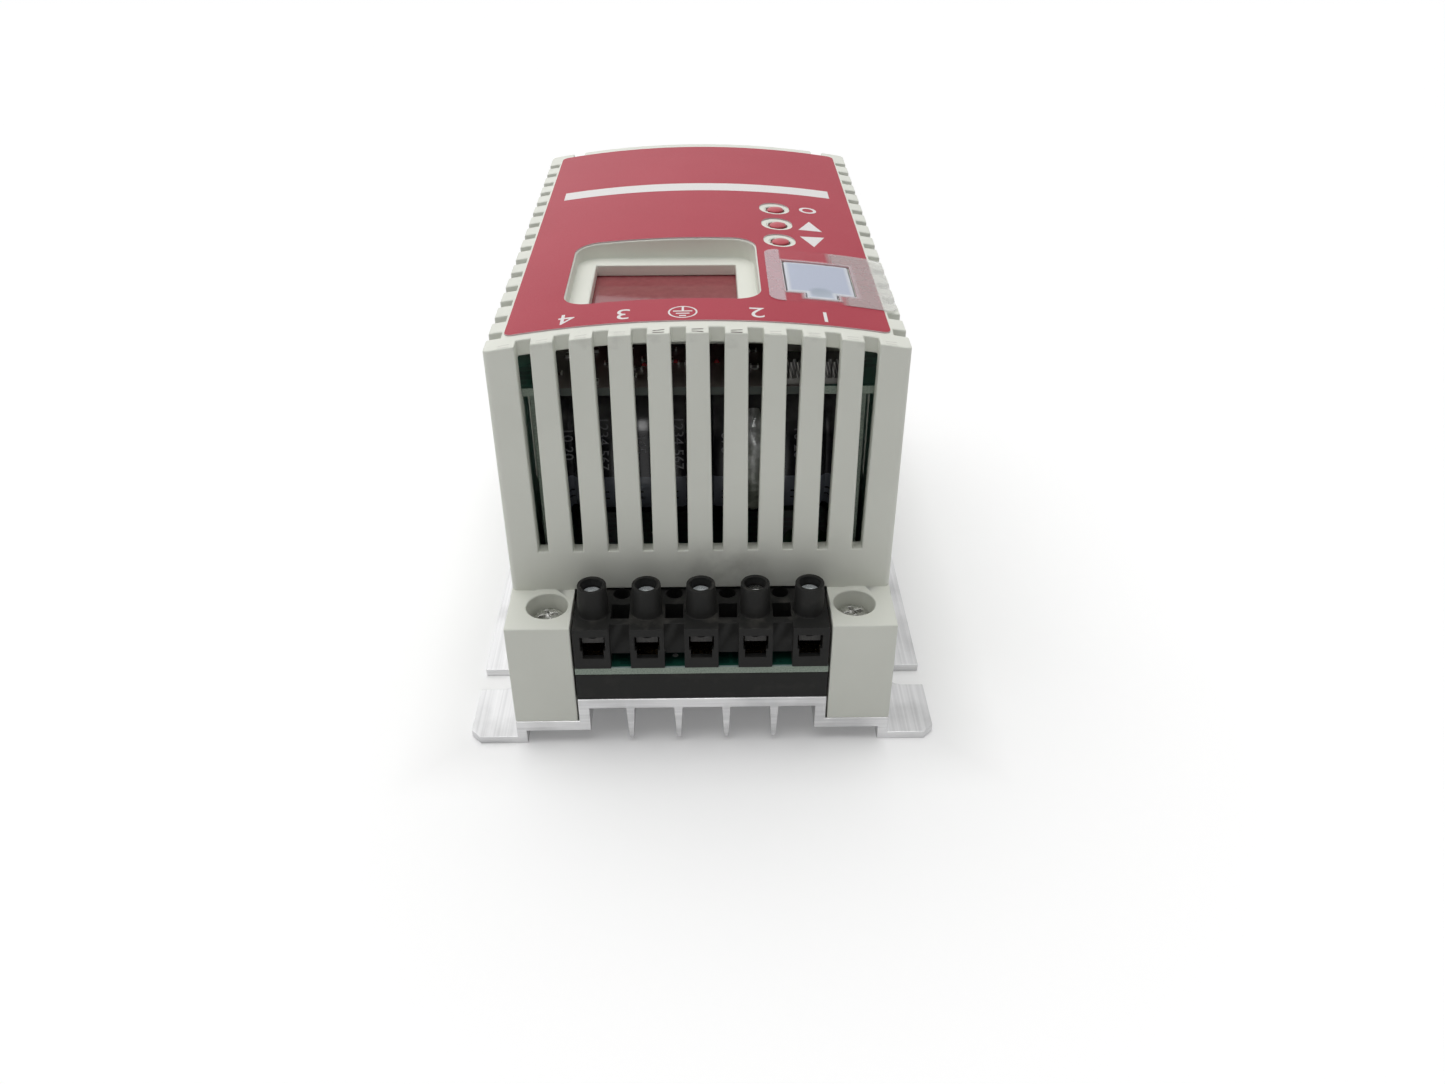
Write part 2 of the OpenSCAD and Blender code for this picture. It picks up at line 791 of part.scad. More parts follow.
// Can with a rolled groove near its base, lying along X with its base on a side board
module bus_capacitor(s, row) {
    groove = 0.6;
    color(sleeve_black) translate([s * can_out, can_first + row * can_step, can_z]) rotate([0, -s * 90, 0])
        rotate_extrude() polygon([[0, 0], [can_r - 0.8, 0], [can_r, 0.8], [can_r, 3], [can_r - groove, 3.6],
            [can_r - groove, 4.2], [can_r, 4.8], [can_r, can_l - 0.8], [can_r - 0.8, can_l], [0, can_l]]);
}
module bus_capacitor_1() { bus_capacitor(-1, 0); }
module bus_capacitor_2() { bus_capacitor(1, 0); }
module bus_capacitor_3() { bus_capacitor(-1, 1); }
module bus_capacitor_4() { bus_capacitor(1, 1); }

module relay() {
    color([0.1, 0.2, 0.42]) translate([relay_x - relay_w / 2, relay_y - relay_l / 2, power_top])
        cube([relay_w, relay_l, relay_h]);
}

module choke_core() {
    color([0.75, 0.68, 0.2]) translate([choke_x, choke_y, power_top + wind_t + wind_gap]) difference() {
        cylinder(r = choke_r, h = choke_h);
        translate([0, 0, -cut]) cylinder(r = choke_bore_r, h = choke_h + 2 * cut);
    }
}

// Flat turns of wire around the ring core
module choke_winding() {
    bore = choke_bore_r - wind_gap;
    rim = choke_r + wind_gap;
    height = choke_h + 2 * wind_gap;
    color([0.72, 0.4, 0.2]) translate([choke_x, choke_y, power_top])
        for (i = [0:wind_count - 1]) rotate(i * 360 / wind_count) difference() {
            span_box(bore - wind_t, rim + wind_t, -wind_t / 2, wind_t / 2, 0, height + 2 * wind_t);
            span_box(bore, rim, -wind_t, wind_t, wind_t, height + wind_t);
        }
}

module film_capacitors() {
    color([0.75, 0.62, 0.15]) for (i = [0, 1])
        translate([film_x + i * film_pitch - film_w / 2, film_y - film_l / 2, power_top])
            cube([film_w, film_l, film_h]);
}

module thermistor() {
    color([0.15, 0.3, 0.2]) translate([thermistor_x, thermistor_y, power_top + thermistor_r])
        rotate([90, 0, 0]) cylinder(r = thermistor_r, h = thermistor_t, center = true);
}

module supply_transformer() {
    waist = 2;
    color([0.2, 0.2, 0.2]) translate([trafo_x - trafo_w / 2, trafo_y - trafo_l / 2, power_top]) {
        cube([trafo_w, trafo_l, trafo_flange]);
        translate([waist, waist, 0]) cube([trafo_w - 2 * waist, trafo_l - 2 * waist, trafo_h]);
        translate([0, 0, trafo_h - trafo_flange]) cube([trafo_w, trafo_l, trafo_flange]);
    }
}

module board_link() {
    color([0.14, 0.14, 0.15]) translate([-link_w / 2, link_y - link_t / 2, power_top])
        cube([link_w, link_t, control_z - power_top]);
}

// Places its children at the line end or, turned round, at the motor end
module at_line_end() { translate([0, front, power_top]) children(); }
module at_motor_end() { translate([0, rear, power_top]) rotate(180) children(); }

module terminal_block(n) {
    color(terminal_black) difference() {
        union() {
            for (i = [1:n]) translate([pole_x(i, n), 0, 0]) {
                span_box(-pole_w / 2, pole_w / 2, 0, block_d, 0, deck_h);
                translate([0, tower_at, deck_h - 0.1])
                    cylinder(r1 = tower_foot_r, r2 = tower_top_r, h = tower_h + 0.1);
            }
            for (i = [1:n - 1])
                span_box(pole_x(i, n), pole_x(i + 1, n), span_back, block_d, span_foot, deck_h);
            for (s = [0, 1]) mirror([s, 0, 0])
                span_box(pole_x(n, n), pole_x(n, n) + pole_w / 2 + end_wall, 0, block_d, 0, deck_h);
        }
        for (i = [1:n]) translate([pole_x(i, n), 0, 0]) {
            span_box(-cell_w / 2, cell_w / 2, cell_front, cell_rear, cell_low, cell_high);
            span_box(-wire_w / 2, wire_w / 2, -cut, cell_front + cut, wire_step, wire_high);
            span_box(-entry_w / 2, entry_w / 2, -cut, cell_front + cut, entry_low, wire_step + cut);
            span_box(-leg_pin_w / 2 - fit_gap, leg_pin_w / 2 + fit_gap, cell_rear - bar_t - 2 * fit_gap,
                     cell_rear, -cut, cell_low + cut);
            translate([0, tower_at, cell_high - cut]) cylinder(r = sleeve_bore_r, h = deck_h + tower_h);
            translate([0, tower_at, screw_seat]) cylinder(r = tower_bore_r, h = tower_h + deck_h);
        }
        for (i = [1:n - 1]) translate([(pole_x(i, n) + pole_x(i + 1, n)) / 2, 0, 0]) {
            translate([-deck_hole_w / 2, tower_at - deck_hole_l / 2, deck_h - deck_hole_d])
                cube([deck_hole_w, deck_hole_l, deck_hole_d + cut]);
            translate([0, deck_round_at, deck_h - deck_hole_d])
                cylinder(r = deck_round_r, h = deck_hole_d + cut);
        }
    }
}

// Flat bars under the wires, each with a leg down to the board
module contacts(n) {
    bar_rear = cell_rear - fit_gap;
    color([0.78, 0.7, 0.45]) for (i = [1:n]) translate([pole_x(i, n), 0, 0]) {
        span_box(-bar_w / 2, bar_w / 2, cell_front + fit_gap, bar_rear, bar_low, bar_low + bar_t);
        span_box(-leg_pin_w / 2, leg_pin_w / 2, bar_rear - bar_t, bar_rear, 0, bar_low + bar_t);
    }
}

module terminal_screw(i, n) {
    color(zinc) translate([pole_x(i, n), tower_at, 0]) difference() {
        union() {
            translate([0, 0, screw_seat + 0.05]) cylinder(r = screw_head_r, h = screw_head_h);
            translate([0, 0, screw_tip]) cylinder(r = screw_shank_r, h = screw_seat - screw_tip + 0.1);
        }
        translate([0, 0, screw_seat + screw_head_h + 0.05])
            cube([3 * screw_head_r, screw_slot_w, 2 * screw_slot_d], center = true);
    }
}

// Grooved leaf that presses on the wire, with the threaded sleeve that runs down the screw
module terminal_clamp(i, n) {
    color([0.35, 0.33, 0.3]) translate([pole_x(i, n), 0, 0]) difference() {
        union() {
            along(leaf_front, leaf_rear) difference() {
                translate([-leaf_w / 2, leaf_low]) square([leaf_w, leaf_high - leaf_low]);
                translate([0, leaf_high]) circle(r = groove_r);
            }
            translate([0, tower_at, sleeve_low])
                cylinder(r = sleeve_r, h = screw_seat - run_gap - sleeve_low);
        }
        translate([0, tower_at, leaf_low - cut]) cylinder(r = screw_shank_r + fit_gap, h = 2 * screw_seat);
    }
}

module input_terminal_block() { at_line_end() terminal_block(line_poles); }
module input_contacts() { at_line_end() contacts(line_poles); }
module output_terminal_block() { at_motor_end() terminal_block(motor_poles); }
module output_contacts() { at_motor_end() contacts(motor_poles); }

module control_terminal_strip() {
    y1 = body_rear + strip_out;
    color([0.12, 0.3, 0.2]) difference() {
        span_box(-strip_w / 2, strip_w / 2, strip_front, y1, strip_z, control_z);
        for (i = [1:control_poles]) translate([control_x(i), y1 + cut, strip_z]) {
            translate([0, 0, strip_screw_z]) rotate([90, 0, 0])
                cylinder(r = strip_screw_r + 0.1, h = strip_screw_h + 0.6 + cut);
            translate([-strip_wire_w / 2, -strip_hole_d - cut, strip_wire_z - strip_wire_w / 2])
                cube([strip_wire_w, strip_hole_d + 2 * cut, strip_wire_w]);
        }
    }
}

module control_screws() {
    y1 = body_rear + strip_out - 0.6;
    color(zinc) for (i = [1:control_poles])
        translate([control_x(i), y1, strip_z + strip_screw_z]) difference() {
            rotate([90, 0, 0]) cylinder(r = strip_screw_r, h = strip_screw_h);
            cube([3 * strip_screw_r, 1, 0.4], center = true);
        }
}

// Pan head with a cross recess, head top at z = 0 and the shank pointing down
module pan_screw(r, h, shank, reach) {
    difference() {
        union() {
            translate([0, 0, -h]) rotate_extrude()
                polygon([[0, 0], [r, 0], [r, h * 0.5], [r * 0.82, h * 0.85], [r * 0.5, h], [0, h]]);
            translate([0, 0, -h - reach]) cylinder(r = shank, h = reach + 0.1);
        }
        for (a = [0, 90]) rotate(a) cube([r * 1.1, r * 0.24, h], center = true);
    }
}

module housing_screws() {
    seat = leg_top - bore_d;
    reach = seat - shelf_top + shelf_t + shank_reach;
    color(zinc) for (x = [-1, 1], y = [-1, 1]) translate([x * screw_x, y * screw_y, seat + head_h])
        rotate(20) pan_screw(head_r, head_h, shank_r, reach);
}

module power_board_screws() {
    color(zinc) for (x = [-1, 1], y = [power_screw_front, power_screw_rear])
        translate([x * power_screw_x, y, power_top + board_head_h])
            pan_screw(board_head_r, board_head_h, board_screw_r, pcb_t + insulator_h + plate_t);
}

module control_board_screws() {
    color(zinc) for (at = post_at)
        translate([at[0], at[1], control_z - board_head_h]) rotate([180, 0, 0])
            pan_screw(board_head_r, board_head_h, board_screw_r, pcb_t + board_screw_reach);
}

heatsink();
housing();
label();
display_window();
led_display();
control_board();
key_mode();
key_up();
key_down();
key_switches();
memory_module();
module_socket();
module_film();
controller_chip();
pin_header();
power_board();
insulator_frame();
power_module();
thermal_pad();
side_board_left();
side_board_right();
bus_capacitor_1();
bus_capacitor_2();
bus_capacitor_3();
bus_capacitor_4();
relay();
choke_core();
choke_winding();
film_capacitors();
thermistor();
supply_transformer();
board_link();
input_terminal_block();
input_contacts();
output_terminal_block();
output_contacts();
control_terminal_strip();
control_screws();
housing_screws();
power_board_screws();
control_board_screws();
for (i = [1:line_poles]) {
    at_line_end() terminal_screw(i, line_poles);
    at_line_end() terminal_clamp(i, line_poles);
}
for (i = [1:motor_poles]) {
    at_motor_end() terminal_screw(i, motor_poles);
    at_motor_end() terminal_clamp(i, motor_poles);
}
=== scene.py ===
import json
import math

import bmesh
import bpy
from mathutils import Matrix, Vector

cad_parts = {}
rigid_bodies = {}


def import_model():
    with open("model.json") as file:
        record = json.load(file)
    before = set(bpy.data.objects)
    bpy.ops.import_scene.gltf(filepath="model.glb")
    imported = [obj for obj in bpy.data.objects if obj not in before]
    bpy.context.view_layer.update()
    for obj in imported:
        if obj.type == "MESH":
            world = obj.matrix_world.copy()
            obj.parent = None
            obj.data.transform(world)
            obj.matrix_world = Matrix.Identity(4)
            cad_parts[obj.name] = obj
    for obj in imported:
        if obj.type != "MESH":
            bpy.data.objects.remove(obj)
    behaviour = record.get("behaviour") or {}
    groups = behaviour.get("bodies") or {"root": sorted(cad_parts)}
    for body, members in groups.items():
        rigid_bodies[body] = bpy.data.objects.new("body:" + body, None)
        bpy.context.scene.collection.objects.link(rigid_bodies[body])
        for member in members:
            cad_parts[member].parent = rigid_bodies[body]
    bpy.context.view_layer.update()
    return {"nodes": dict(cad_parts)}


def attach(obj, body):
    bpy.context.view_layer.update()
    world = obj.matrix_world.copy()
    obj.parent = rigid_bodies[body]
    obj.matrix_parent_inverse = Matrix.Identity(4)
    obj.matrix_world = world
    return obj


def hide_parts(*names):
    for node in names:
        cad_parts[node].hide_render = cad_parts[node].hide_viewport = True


for left_over in list(bpy.data.objects):
    bpy.data.objects.remove(left_over)
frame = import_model()


# Heatsink: one length of aluminium extrusion with fins under a plate and a slotted foot at each side.
# The die leaves fine lines along it and the saw leaves cross marks on its two cut ends.

MM = 0.001


def plug(socket, value):
    """Links a socket, or sets it where the value is a plain one."""
    if isinstance(value, bpy.types.NodeSocket):
        socket.id_data.links.new(value, socket)
    else:
        socket.default_value = value


def put(tree, kind, sockets=None, **settings):
    """Adds a node with its settings and its inputs."""
    node = tree.nodes.new(kind)
    for key, value in settings.items():
        setattr(node, key, value)
    for key, value in (sockets or {}).items():
        plug(node.inputs[key], value)
    return node


def made(kind, sockets, **settings):
    """Adds a node to the tree its inputs come from, and gives what comes out of it first."""
    tree = next(value.id_data for value in sockets.values() if isinstance(value, bpy.types.NodeSocket))
    return put(tree, kind, sockets, **settings).outputs[0]


def calc(operation, *values):
    """One sum: add, compare and the like."""
    return made("ShaderNodeMath", dict(enumerate(values)), operation=operation)


def span(value, low, high, first=0.0, last=1.0):
    """Carries a value from one range to another, held at both ends."""
    ends = {"Value": value, "From Min": low, "From Max": high, "To Min": first, "To Max": last}
    return made("ShaderNodeMapRange", ends)


def shade(share, first, second):
    """Mixes two colours by a share."""
    pair = [v if isinstance(v, bpy.types.NodeSocket) else (*v, 1.0) for v in (first, second)]
    return put(share.id_data, "ShaderNodeMix", {0: share, 6: pair[0], 7: pair[1]}, data_type="RGBA").outputs[2]


def mottle(noise, first, second, low=0.3, high=0.7):
    """Mixes two colours by a noise, over the middle of its range."""
    return shade(span(noise, low, high), first, second)


def grain(where, per_metre, stretch=(1, 1, 1), detail=3.0):
    """Noise at so many lumps a metre, drawn out along an axis where stretch is small."""
    scale = [per_metre * part for part in stretch]
    scaled = made("ShaderNodeMapping", {"Vector": where, "Scale": scale})
    return made("ShaderNodeTexNoise", {"Vector": scaled, "Scale": 1.0, "Detail": detail})


def surface(name, **constants):
    """A new finish, with the shader to feed and the place on the piece."""
    finish = bpy.data.materials.new(name)
    finish.use_nodes = True
    shader = finish.node_tree.nodes["Principled BSDF"]
    for key, value in constants.items():
        shader.inputs[key.replace("_", " ")].default_value = value
    return finish, shader, put(finish.node_tree, "ShaderNodeTexCoord").outputs["Object"]


def axes(spot):
    """The three parts of a place or a direction."""
    return put(spot.id_data, "ShaderNodeSeparateXYZ", {"Vector": spot}).outputs


def facing(where):
    """How far the surface faces along each axis, without its sign."""
    normal = put(where.id_data, "ShaderNodeNewGeometry").outputs["True Normal"]
    return [calc("ABSOLUTE", part) for part in axes(normal)]


def paint(shader, colour):
    """Gives a finish its colour."""
    plug(shader.inputs["Base Color"], colour)


def relief(shader, height, depth):
    """Raises and sinks the surface by a height from 0 to 1, depth in mm."""
    plug(shader.inputs["Normal"], made("ShaderNodeBump", {"Height": height, "Distance": depth * MM}))


def bake(piece):
    """Turns a piece with modifiers into a plain mesh."""
    shown = piece.evaluated_get(bpy.context.evaluated_depsgraph_get())
    mesh = bpy.data.meshes.new_from_object(shown)
    piece.modifiers.clear()
    piece.data = mesh


def held(name, data):
    """Puts a new object in the scene, made from a bmesh or from other data."""
    if isinstance(data, bmesh.types.BMesh):
        form, data = data, bpy.data.meshes.new(name)
        form.to_mesh(data)
        form.free()
    piece = bpy.data.objects.new(name, data)
    bpy.context.scene.collection.objects.link(piece)
    return piece


def merged(node):
    """The merged form of a CAD node."""
    form = bmesh.new()
    form.from_mesh(frame["nodes"][node].data)
    bmesh.ops.remove_doubles(form, verts=form.verts, dist=0.002 * MM)
    return form


def eased(node, width, leave=(), within=None):
    """A copy of a CAD node with its sharp edges rounded to width in mm, but not close to the places left,
    nor where the rule within holds for the middle of an edge."""
    close_by, well_off, split_at = 2 * MM, 4 * MM, 3.6 * MM
    form = merged(node)
    bmesh.ops.dissolve_limit(form, angle_limit=math.radians(0.5), verts=form.verts, edges=form.edges)
    for spot in leave:
        middle = Vector(spot) * MM
        for edge in form.edges[:]:
            near, far = sorted(edge.verts, key=lambda corner: (corner.co - middle).length)
            if (near.co - middle).length < close_by and (far.co - middle).length > well_off:
                bmesh.utils.edge_split(edge, near, split_at / edge.calc_length())
    weight = form.edges.layers.float.new("bevel_weight_edge")
    hard = {e for e in form.edges if len(e.link_faces) == 2 and e.calc_face_angle(0) > math.radians(35)}
    for edge in hard:
        edge[weight] = 1.0
    for corner in form.verts:
        rays = [(e, e.other_vert(corner).co - corner.co) for e in corner.link_edges if e in hard]
        close = any((corner.co - Vector(spot) * MM).length < close_by for spot in leave)
        for edge, ray in rays:
            tight = any(other is not edge and ray.angle(way, 0) < math.radians(40) for other, way in rays)
            if close or tight:
                edge[weight] = 0.0
    for edge in hard:
        if within and within((edge.verts[0].co + edge.verts[1].co) / 2 / MM):
            edge[weight] = 0.0
    for face in form.faces:
        face.smooth = True
    for edge in hard:
        edge.smooth = edge[weight] > 0
    piece = held(node + "_piece", form)
    rounding = piece.modifiers.new("edges", "BEVEL")
    rounding.width = width * MM
    rounding.segments = 2
    rounding.limit_method = "WEIGHT"
    rounding.use_clamp_overlap = False
    piece.modifiers.new("normals", "WEIGHTED_NORMAL").keep_sharp = True
    bake(piece)
    return piece


def fit(piece, finish, slot, *nodes, body="drive"):
    """Gives a piece its finish, and puts it on its body in the place of CAD nodes."""
    if finish:
        piece.data.materials.clear()
        piece.data.materials.append(finish)
    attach(piece, body)
    if nodes:
        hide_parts(*nodes)


def dress(node, width, finish, slot, body="drive", **spared):
    """Puts a rounded copy of a CAD node in its place, on its body and with its finish."""
    fit(eased(node, width, **spared), finish, slot, node, body=body)


aluminium, shader, where = surface("mill_aluminium", Metallic=1.0)
sawn = calc("GREATER_THAN", facing(where)[1], 0.7)
die_lines = grain(where, 1900, (1, 0.008, 1), 4)
saw_lines = grain(where, 1500, (0.035, 1, 1), 4)
lines = made("ShaderNodeMix", {0: sawn, 2: die_lines, 3: saw_lines})
handling = grain(where, 75, detail=5)
dull = span(handling, 0.45, 0.7)
valleys = shade(dull, (0.61, 0.61, 0.615), (0.46, 0.46, 0.465))
crests = shade(dull, (0.77, 0.77, 0.775), (0.62, 0.62, 0.625))
paint(shader, mottle(lines, valleys, crests))
plug(shader.inputs["Roughness"],
     calc("ADD", span(lines, 0.3, 0.7, 0.30, 0.40), span(handling, 0.4, 0.7, 0.0, 0.10)))
relief(shader, lines, 0.02)
dress("heatsink", 0.2, aluminium, "mill_aluminium")


# Thermal pad: a thin grey silicone sheet, cut to size and pressed between heatsink and power module.
# It is soft and filled with ceramic powder, and the pull of the board screws keeps it in place.


def polish(shader, noise, smooth, rough):
    """Gives a finish its roughness, by a noise."""
    plug(shader.inputs["Roughness"], span(noise, 0.3, 0.7, smooth, rough))


def speckled(name, per_metre, dark, light, gloss, depth, stretch=(1, 1, 1), detail=3, low=0.3, high=0.7,
             **constants):
    """A finish with one noise in its colour, from dark to light, in its roughness, over the range gloss if there
    is one, and in its relief, depth in mm."""
    finish, shader, where = surface(name, **constants)
    speck = grain(where, per_metre, stretch, detail)
    paint(shader, mottle(speck, dark, light, low, high))
    if gloss:
        polish(shader, speck, *gloss)
    if depth:
        relief(shader, speck, depth)
    return finish


pad_grey = speckled("thermal_sheet", 2500, (0.30, 0.31, 0.33), (0.42, 0.43, 0.45),
                    None, 0.03, detail=2, low=0.35, high=0.65, Roughness=0.75)
dress("thermal_pad", 0.05, pad_grey, "thermal_sheet")


# Power module: a transfer-moulded block of black epoxy that holds the rectifier and the switches.
# It is pressed on the heatsink and soldered to the power board above it.

moulded_black, shader, where = surface("moulded_black", Specular_IOR_Level=0.4)
pits = grain(where, 6000, detail=2)
flow = grain(where, 120)
paint(shader, mottle(flow, (0.016, 0.016, 0.017), (0.030, 0.030, 0.032)))
polish(shader, pits, 0.42, 0.58)
relief(shader, pits, 0.012)
dress("power_module", 0.2, moulded_black, "black_plastic")


# Insulator frame: a black moulded tray under the power board that keeps it off the heatsink.
# Its rim shows as a dark line all round between the aluminium and the board.


def times(value, *others):
    """The product of two or more values."""
    for other in others:
        value = calc("MULTIPLY", value, other)
    return value


terminal_black, shader, where = surface("terminal_black", Specular_IOR_Level=0.16)
mould_grain = grain(where, 4200)
dust = grain(where, 260, detail=6)
upward = axes(put(where.id_data, "ShaderNodeNewGeometry").outputs["Normal"])[2]
dusty = times(span(dust, 0.52, 0.75), span(upward, 0.3, 1.0, 0.15, 0.8))
clean = shade(mould_grain, (0.013, 0.013, 0.0125), (0.023, 0.023, 0.022))
paint(shader, shade(dusty, clean, (0.070, 0.067, 0.060)))
polish(shader, mould_grain, 0.42, 0.58)
relief(shader, mould_grain, 0.015)
dress("insulator_frame", 0.2, terminal_black, "terminal_black")


# Power board: a glass fibre circuit board with a green solder mask, cut out of a panel.
# The cut edge is pale, tracks show under the mask, and the pads are tinned.


def less(value, other):
    """What is left of a value when another is taken off."""
    return calc("SUBTRACT", value, other)


def vector(**parts):
    """A place, a direction or a size from its parts."""
    return made("ShaderNodeCombineXYZ", parts)


def board_finish(name, across, along, through, bare=1000.0, black=0.0):
    """The finish of a circuit board, by the numbers of the axes across, along and through it. In mm, bare is
    where the solder mask ends towards both ends, and black how far a dark zone at its front goes to each side;
    on the cut edge that zone is painted shade."""
    finish, shader, where = surface(name, Specular_IOR_Level=0.5)
    place = axes(where)
    flat = vector(X=place[across], Y=place[along])
    on_face = calc("GREATER_THAN", facing(where)[through], 0.6)
    layout = {"Vector": flat, "Scale": 110.0, "Mortar Size": 0.035, "Mortar Smooth": 0.0, "Brick Width": 0.62,
              "Row Height": 0.22}
    copper = put(flat.id_data, "ShaderNodeTexBrick", layout, offset=0.37, squash=1.6).outputs["Fac"]
    pours = span(grain(flat, 70, detail=0), 0.54, 0.55)
    copper = calc("MAXIMUM", copper, pours)
    holes = made("ShaderNodeTexVoronoi", {"Vector": flat, "Scale": 260.0, "Randomness": 0.75})
    pads = times(span(holes, 0.15, 0.17, 1.0, 0.0), span(grain(flat, 90), 0.5, 0.52))
    mask = shade(copper, (0.007, 0.046, 0.034), (0.012, 0.080, 0.056))
    fibres = grain(where, 3200, detail=2)
    cut = mottle(fibres, (0.22, 0.27, 0.225), (0.33, 0.39, 0.33), 0.35, 0.65)
    # A dark zone over the front middle of the board: darker on its face, and on its cut edge a painted shade.
    if black:
        dark_zone_rear, dark_zone_left = -37, 3
        front = calc("LESS_THAN", place[along], dark_zone_rear * MM)
        middle = calc("LESS_THAN", calc("ABSOLUTE", calc("ADD", place[across], dark_zone_left * MM)), black * MM)
        darkened_front = times(front, middle)
        mask = shade(darkened_front, mask, (0.115, 0.095, 0.090))
        cut = shade(darkened_front, cut, (0.042, 0.050, 0.043))
    mask = shade(pads, mask, (0.62, 0.62, 0.60))
    # Past the solder mask the bare strip is paler: partly its own colour, partly a painted highlight along the
    # board's ends.
    bare_strip_and_highlight = calc("GREATER_THAN", calc("ABSOLUTE", place[along]), bare * MM)
    mask = shade(bare_strip_and_highlight, mask, (0.33, 0.43, 0.41))
    paint(shader, shade(on_face, cut, mask))
    plug(shader.inputs["Roughness"], less(0.72, times(on_face, 0.4)))
    relief(shader, times(on_face, calc("MAXIMUM", copper, pads)), 0.035)
    return finish


flat_board = board_finish("circuit_board_flat", 0, 1, 2, bare=72.35)
dress("power_board", 0.1, flat_board, "circuit_board")


# Power board screws: small zinc plated machine screws that pull the board and its frame on the heatsink.
# Their heads are cold formed, and the plating leaves fine crystals with a few dull stains.

zinc, shader, where = surface("zinc_plate", Metallic=1.0)
crystals = grain(where, 5200)
stain = grain(where, 600, detail=4)
bright = shade(crystals, (0.60, 0.60, 0.585), (0.76, 0.76, 0.74))
paint(shader, mottle(stain, bright, (0.42, 0.41, 0.38), 0.5, 0.75))
polish(shader, crystals, 0.20, 0.34)
relief(shader, crystals, 0.006)
dress("power_board_screws", 0.1, zinc, "zinc_steel")


# Inrush relay: a blue moulded case welded on its base, soldered to the power board.
# It closes round the thermistor once the bus capacitors are full.

relay_blue = speckled("relay_blue", 900, (0.020, 0.085, 0.30), (0.028, 0.110, 0.36),
                      (0.26, 0.38), 0.02, Specular_IOR_Level=0.5)
dress("relay", 0.4, relay_blue, "relay_blue")


# Filter choke: a ring of pressed iron powder with a yellow coat and a single layer of enamelled wire.
# The wire goes round the ring in sixteen turns that hug its rounded edges.

choke_x, choke_y = 15.8, 28.2
ring_in, ring_out = 5.5, 11.0
ring_low, ring_high = 20.1, 29.1
wire_r, wire_gap = 0.45, 0.1
wire_turns, turn_points = 16, 28

core_yellow = speckled("core_yellow", 3000, (0.62, 0.48, 0.06), (0.74, 0.60, 0.10),
                       (0.42, 0.6), 0.03, Specular_IOR_Level=0.45)
dress("choke_core", 0.4, core_yellow, "core_yellow")

enamel = speckled("wire_enamel", 1400, (0.62, 0.25, 0.10), (0.78, 0.36, 0.16),
                  (0.22, 0.34), 0.0, detail=2, Metallic=1.0, Coat_Weight=0.8, Coat_Roughness=0.12)


def node_form(name, **sizes):
    """A Geometry Nodes tree with a named input for each size."""
    tree = bpy.data.node_groups.new(name, "GeometryNodeTree")
    tree.interface.new_socket("Geometry", in_out="OUTPUT", socket_type="NodeSocketGeometry")
    kinds = {int: "NodeSocketInt", float: "NodeSocketFloat", tuple: "NodeSocketVector"}
    for label, value in sizes.items():
        tree.interface.new_socket(label, in_out="INPUT", socket_type=kinds[type(value)])
    return tree, put(tree, "NodeGroupInput").outputs


def grown(name, tree, shape, finish, **sizes):
    """Ends a tree, lets it grow on an empty mesh, and keeps the plain mesh."""
    real = made("GeometryNodeRealizeInstances", {"Geometry": shape})
    dressed = made("GeometryNodeSetMaterial", {"Geometry": real, "Material": finish})
    plug(put(tree, "NodeGroupOutput").inputs[0], dressed)
    piece = held(name, bpy.data.meshes.new(name))
    growth = piece.modifiers.new("form", "NODES")
    growth.node_group = tree
    for socket in tree.interface.items_tree:
        if socket.in_out == "INPUT":
            growth[socket.identifier] = sizes[socket.name]
    bake(piece)
    return piece


def strung(tree, count, at):
    """A line of so many points, each put at its place."""
    line = put(tree, "GeometryNodeCurvePrimitiveLine").outputs[0]
    line = made("GeometryNodeResampleCurve", {"Curve": line, "Count": count})
    return made("GeometryNodeSetPosition", {"Geometry": line, "Position": at})


def squared(wave):
    """A wave with its tops cut flat, so that a turn follows a square section."""
    return calc("MAXIMUM", -1.0, calc("MINIMUM", 1.0, times(wave, 1.32)))


winding = dict(Turns=wire_turns, Points=wire_turns * turn_points, Wire=wire_r * MM,
               Inside=(ring_in - wire_gap - wire_r) * MM, Outside=(ring_out + wire_gap + wire_r) * MM,
               Low=(ring_low - wire_gap - wire_r) * MM, High=(ring_high + wire_gap + wire_r) * MM,
               Centre=(choke_x * MM, choke_y * MM, 0.0))
tree, size = node_form("choke_wire", **winding)
share = calc("DIVIDE", put(tree, "GeometryNodeInputIndex").outputs[0], size["Points"])
round_ring = times(share, math.tau)
round_wire = times(round_ring, size["Turns"])
out_share = squared(calc("COSINE", round_wire))
up_share = squared(calc("SINE", round_wire))
reach = span(out_share, -1.0, 1.0, size["Inside"], size["Outside"])
height = span(up_share, -1.0, 1.0, size["Low"], size["High"])
turn_at = vector(X=times(reach, calc("COSINE", round_ring)), Y=times(reach, calc("SINE", round_ring)), Z=height)
turn_at = made("ShaderNodeVectorMath", {0: turn_at, 1: size["Centre"]}, operation="ADD")
line = strung(tree, size["Points"], turn_at)
section = made("GeometryNodeCurvePrimitiveCircle", {"Resolution": 8, "Radius": size["Wire"]})
wire = made("GeometryNodeCurveToMesh", {"Curve": line, "Profile Curve": section, "Fill Caps": True})
fit(grown("choke_wire", tree, wire, enamel, **winding), None, "copper_wire", "choke_winding")


# Film capacitors: two boxed capacitors across the mains, in yellow cases filled with resin.
# They stand on their leads, soldered to the power board.

film_yellow = speckled("film_yellow", 700, (0.66, 0.42, 0.045), (0.74, 0.50, 0.06),
                       (0.28, 0.42), 0.02, Specular_IOR_Level=0.5)
dress("film_capacitors", 0.3, film_yellow, "film_yellow")


# Inrush thermistor: a pressed disc dipped in green epoxy, on two leads.
# The dip runs down a little way and leaves a wavy, glossy coat.

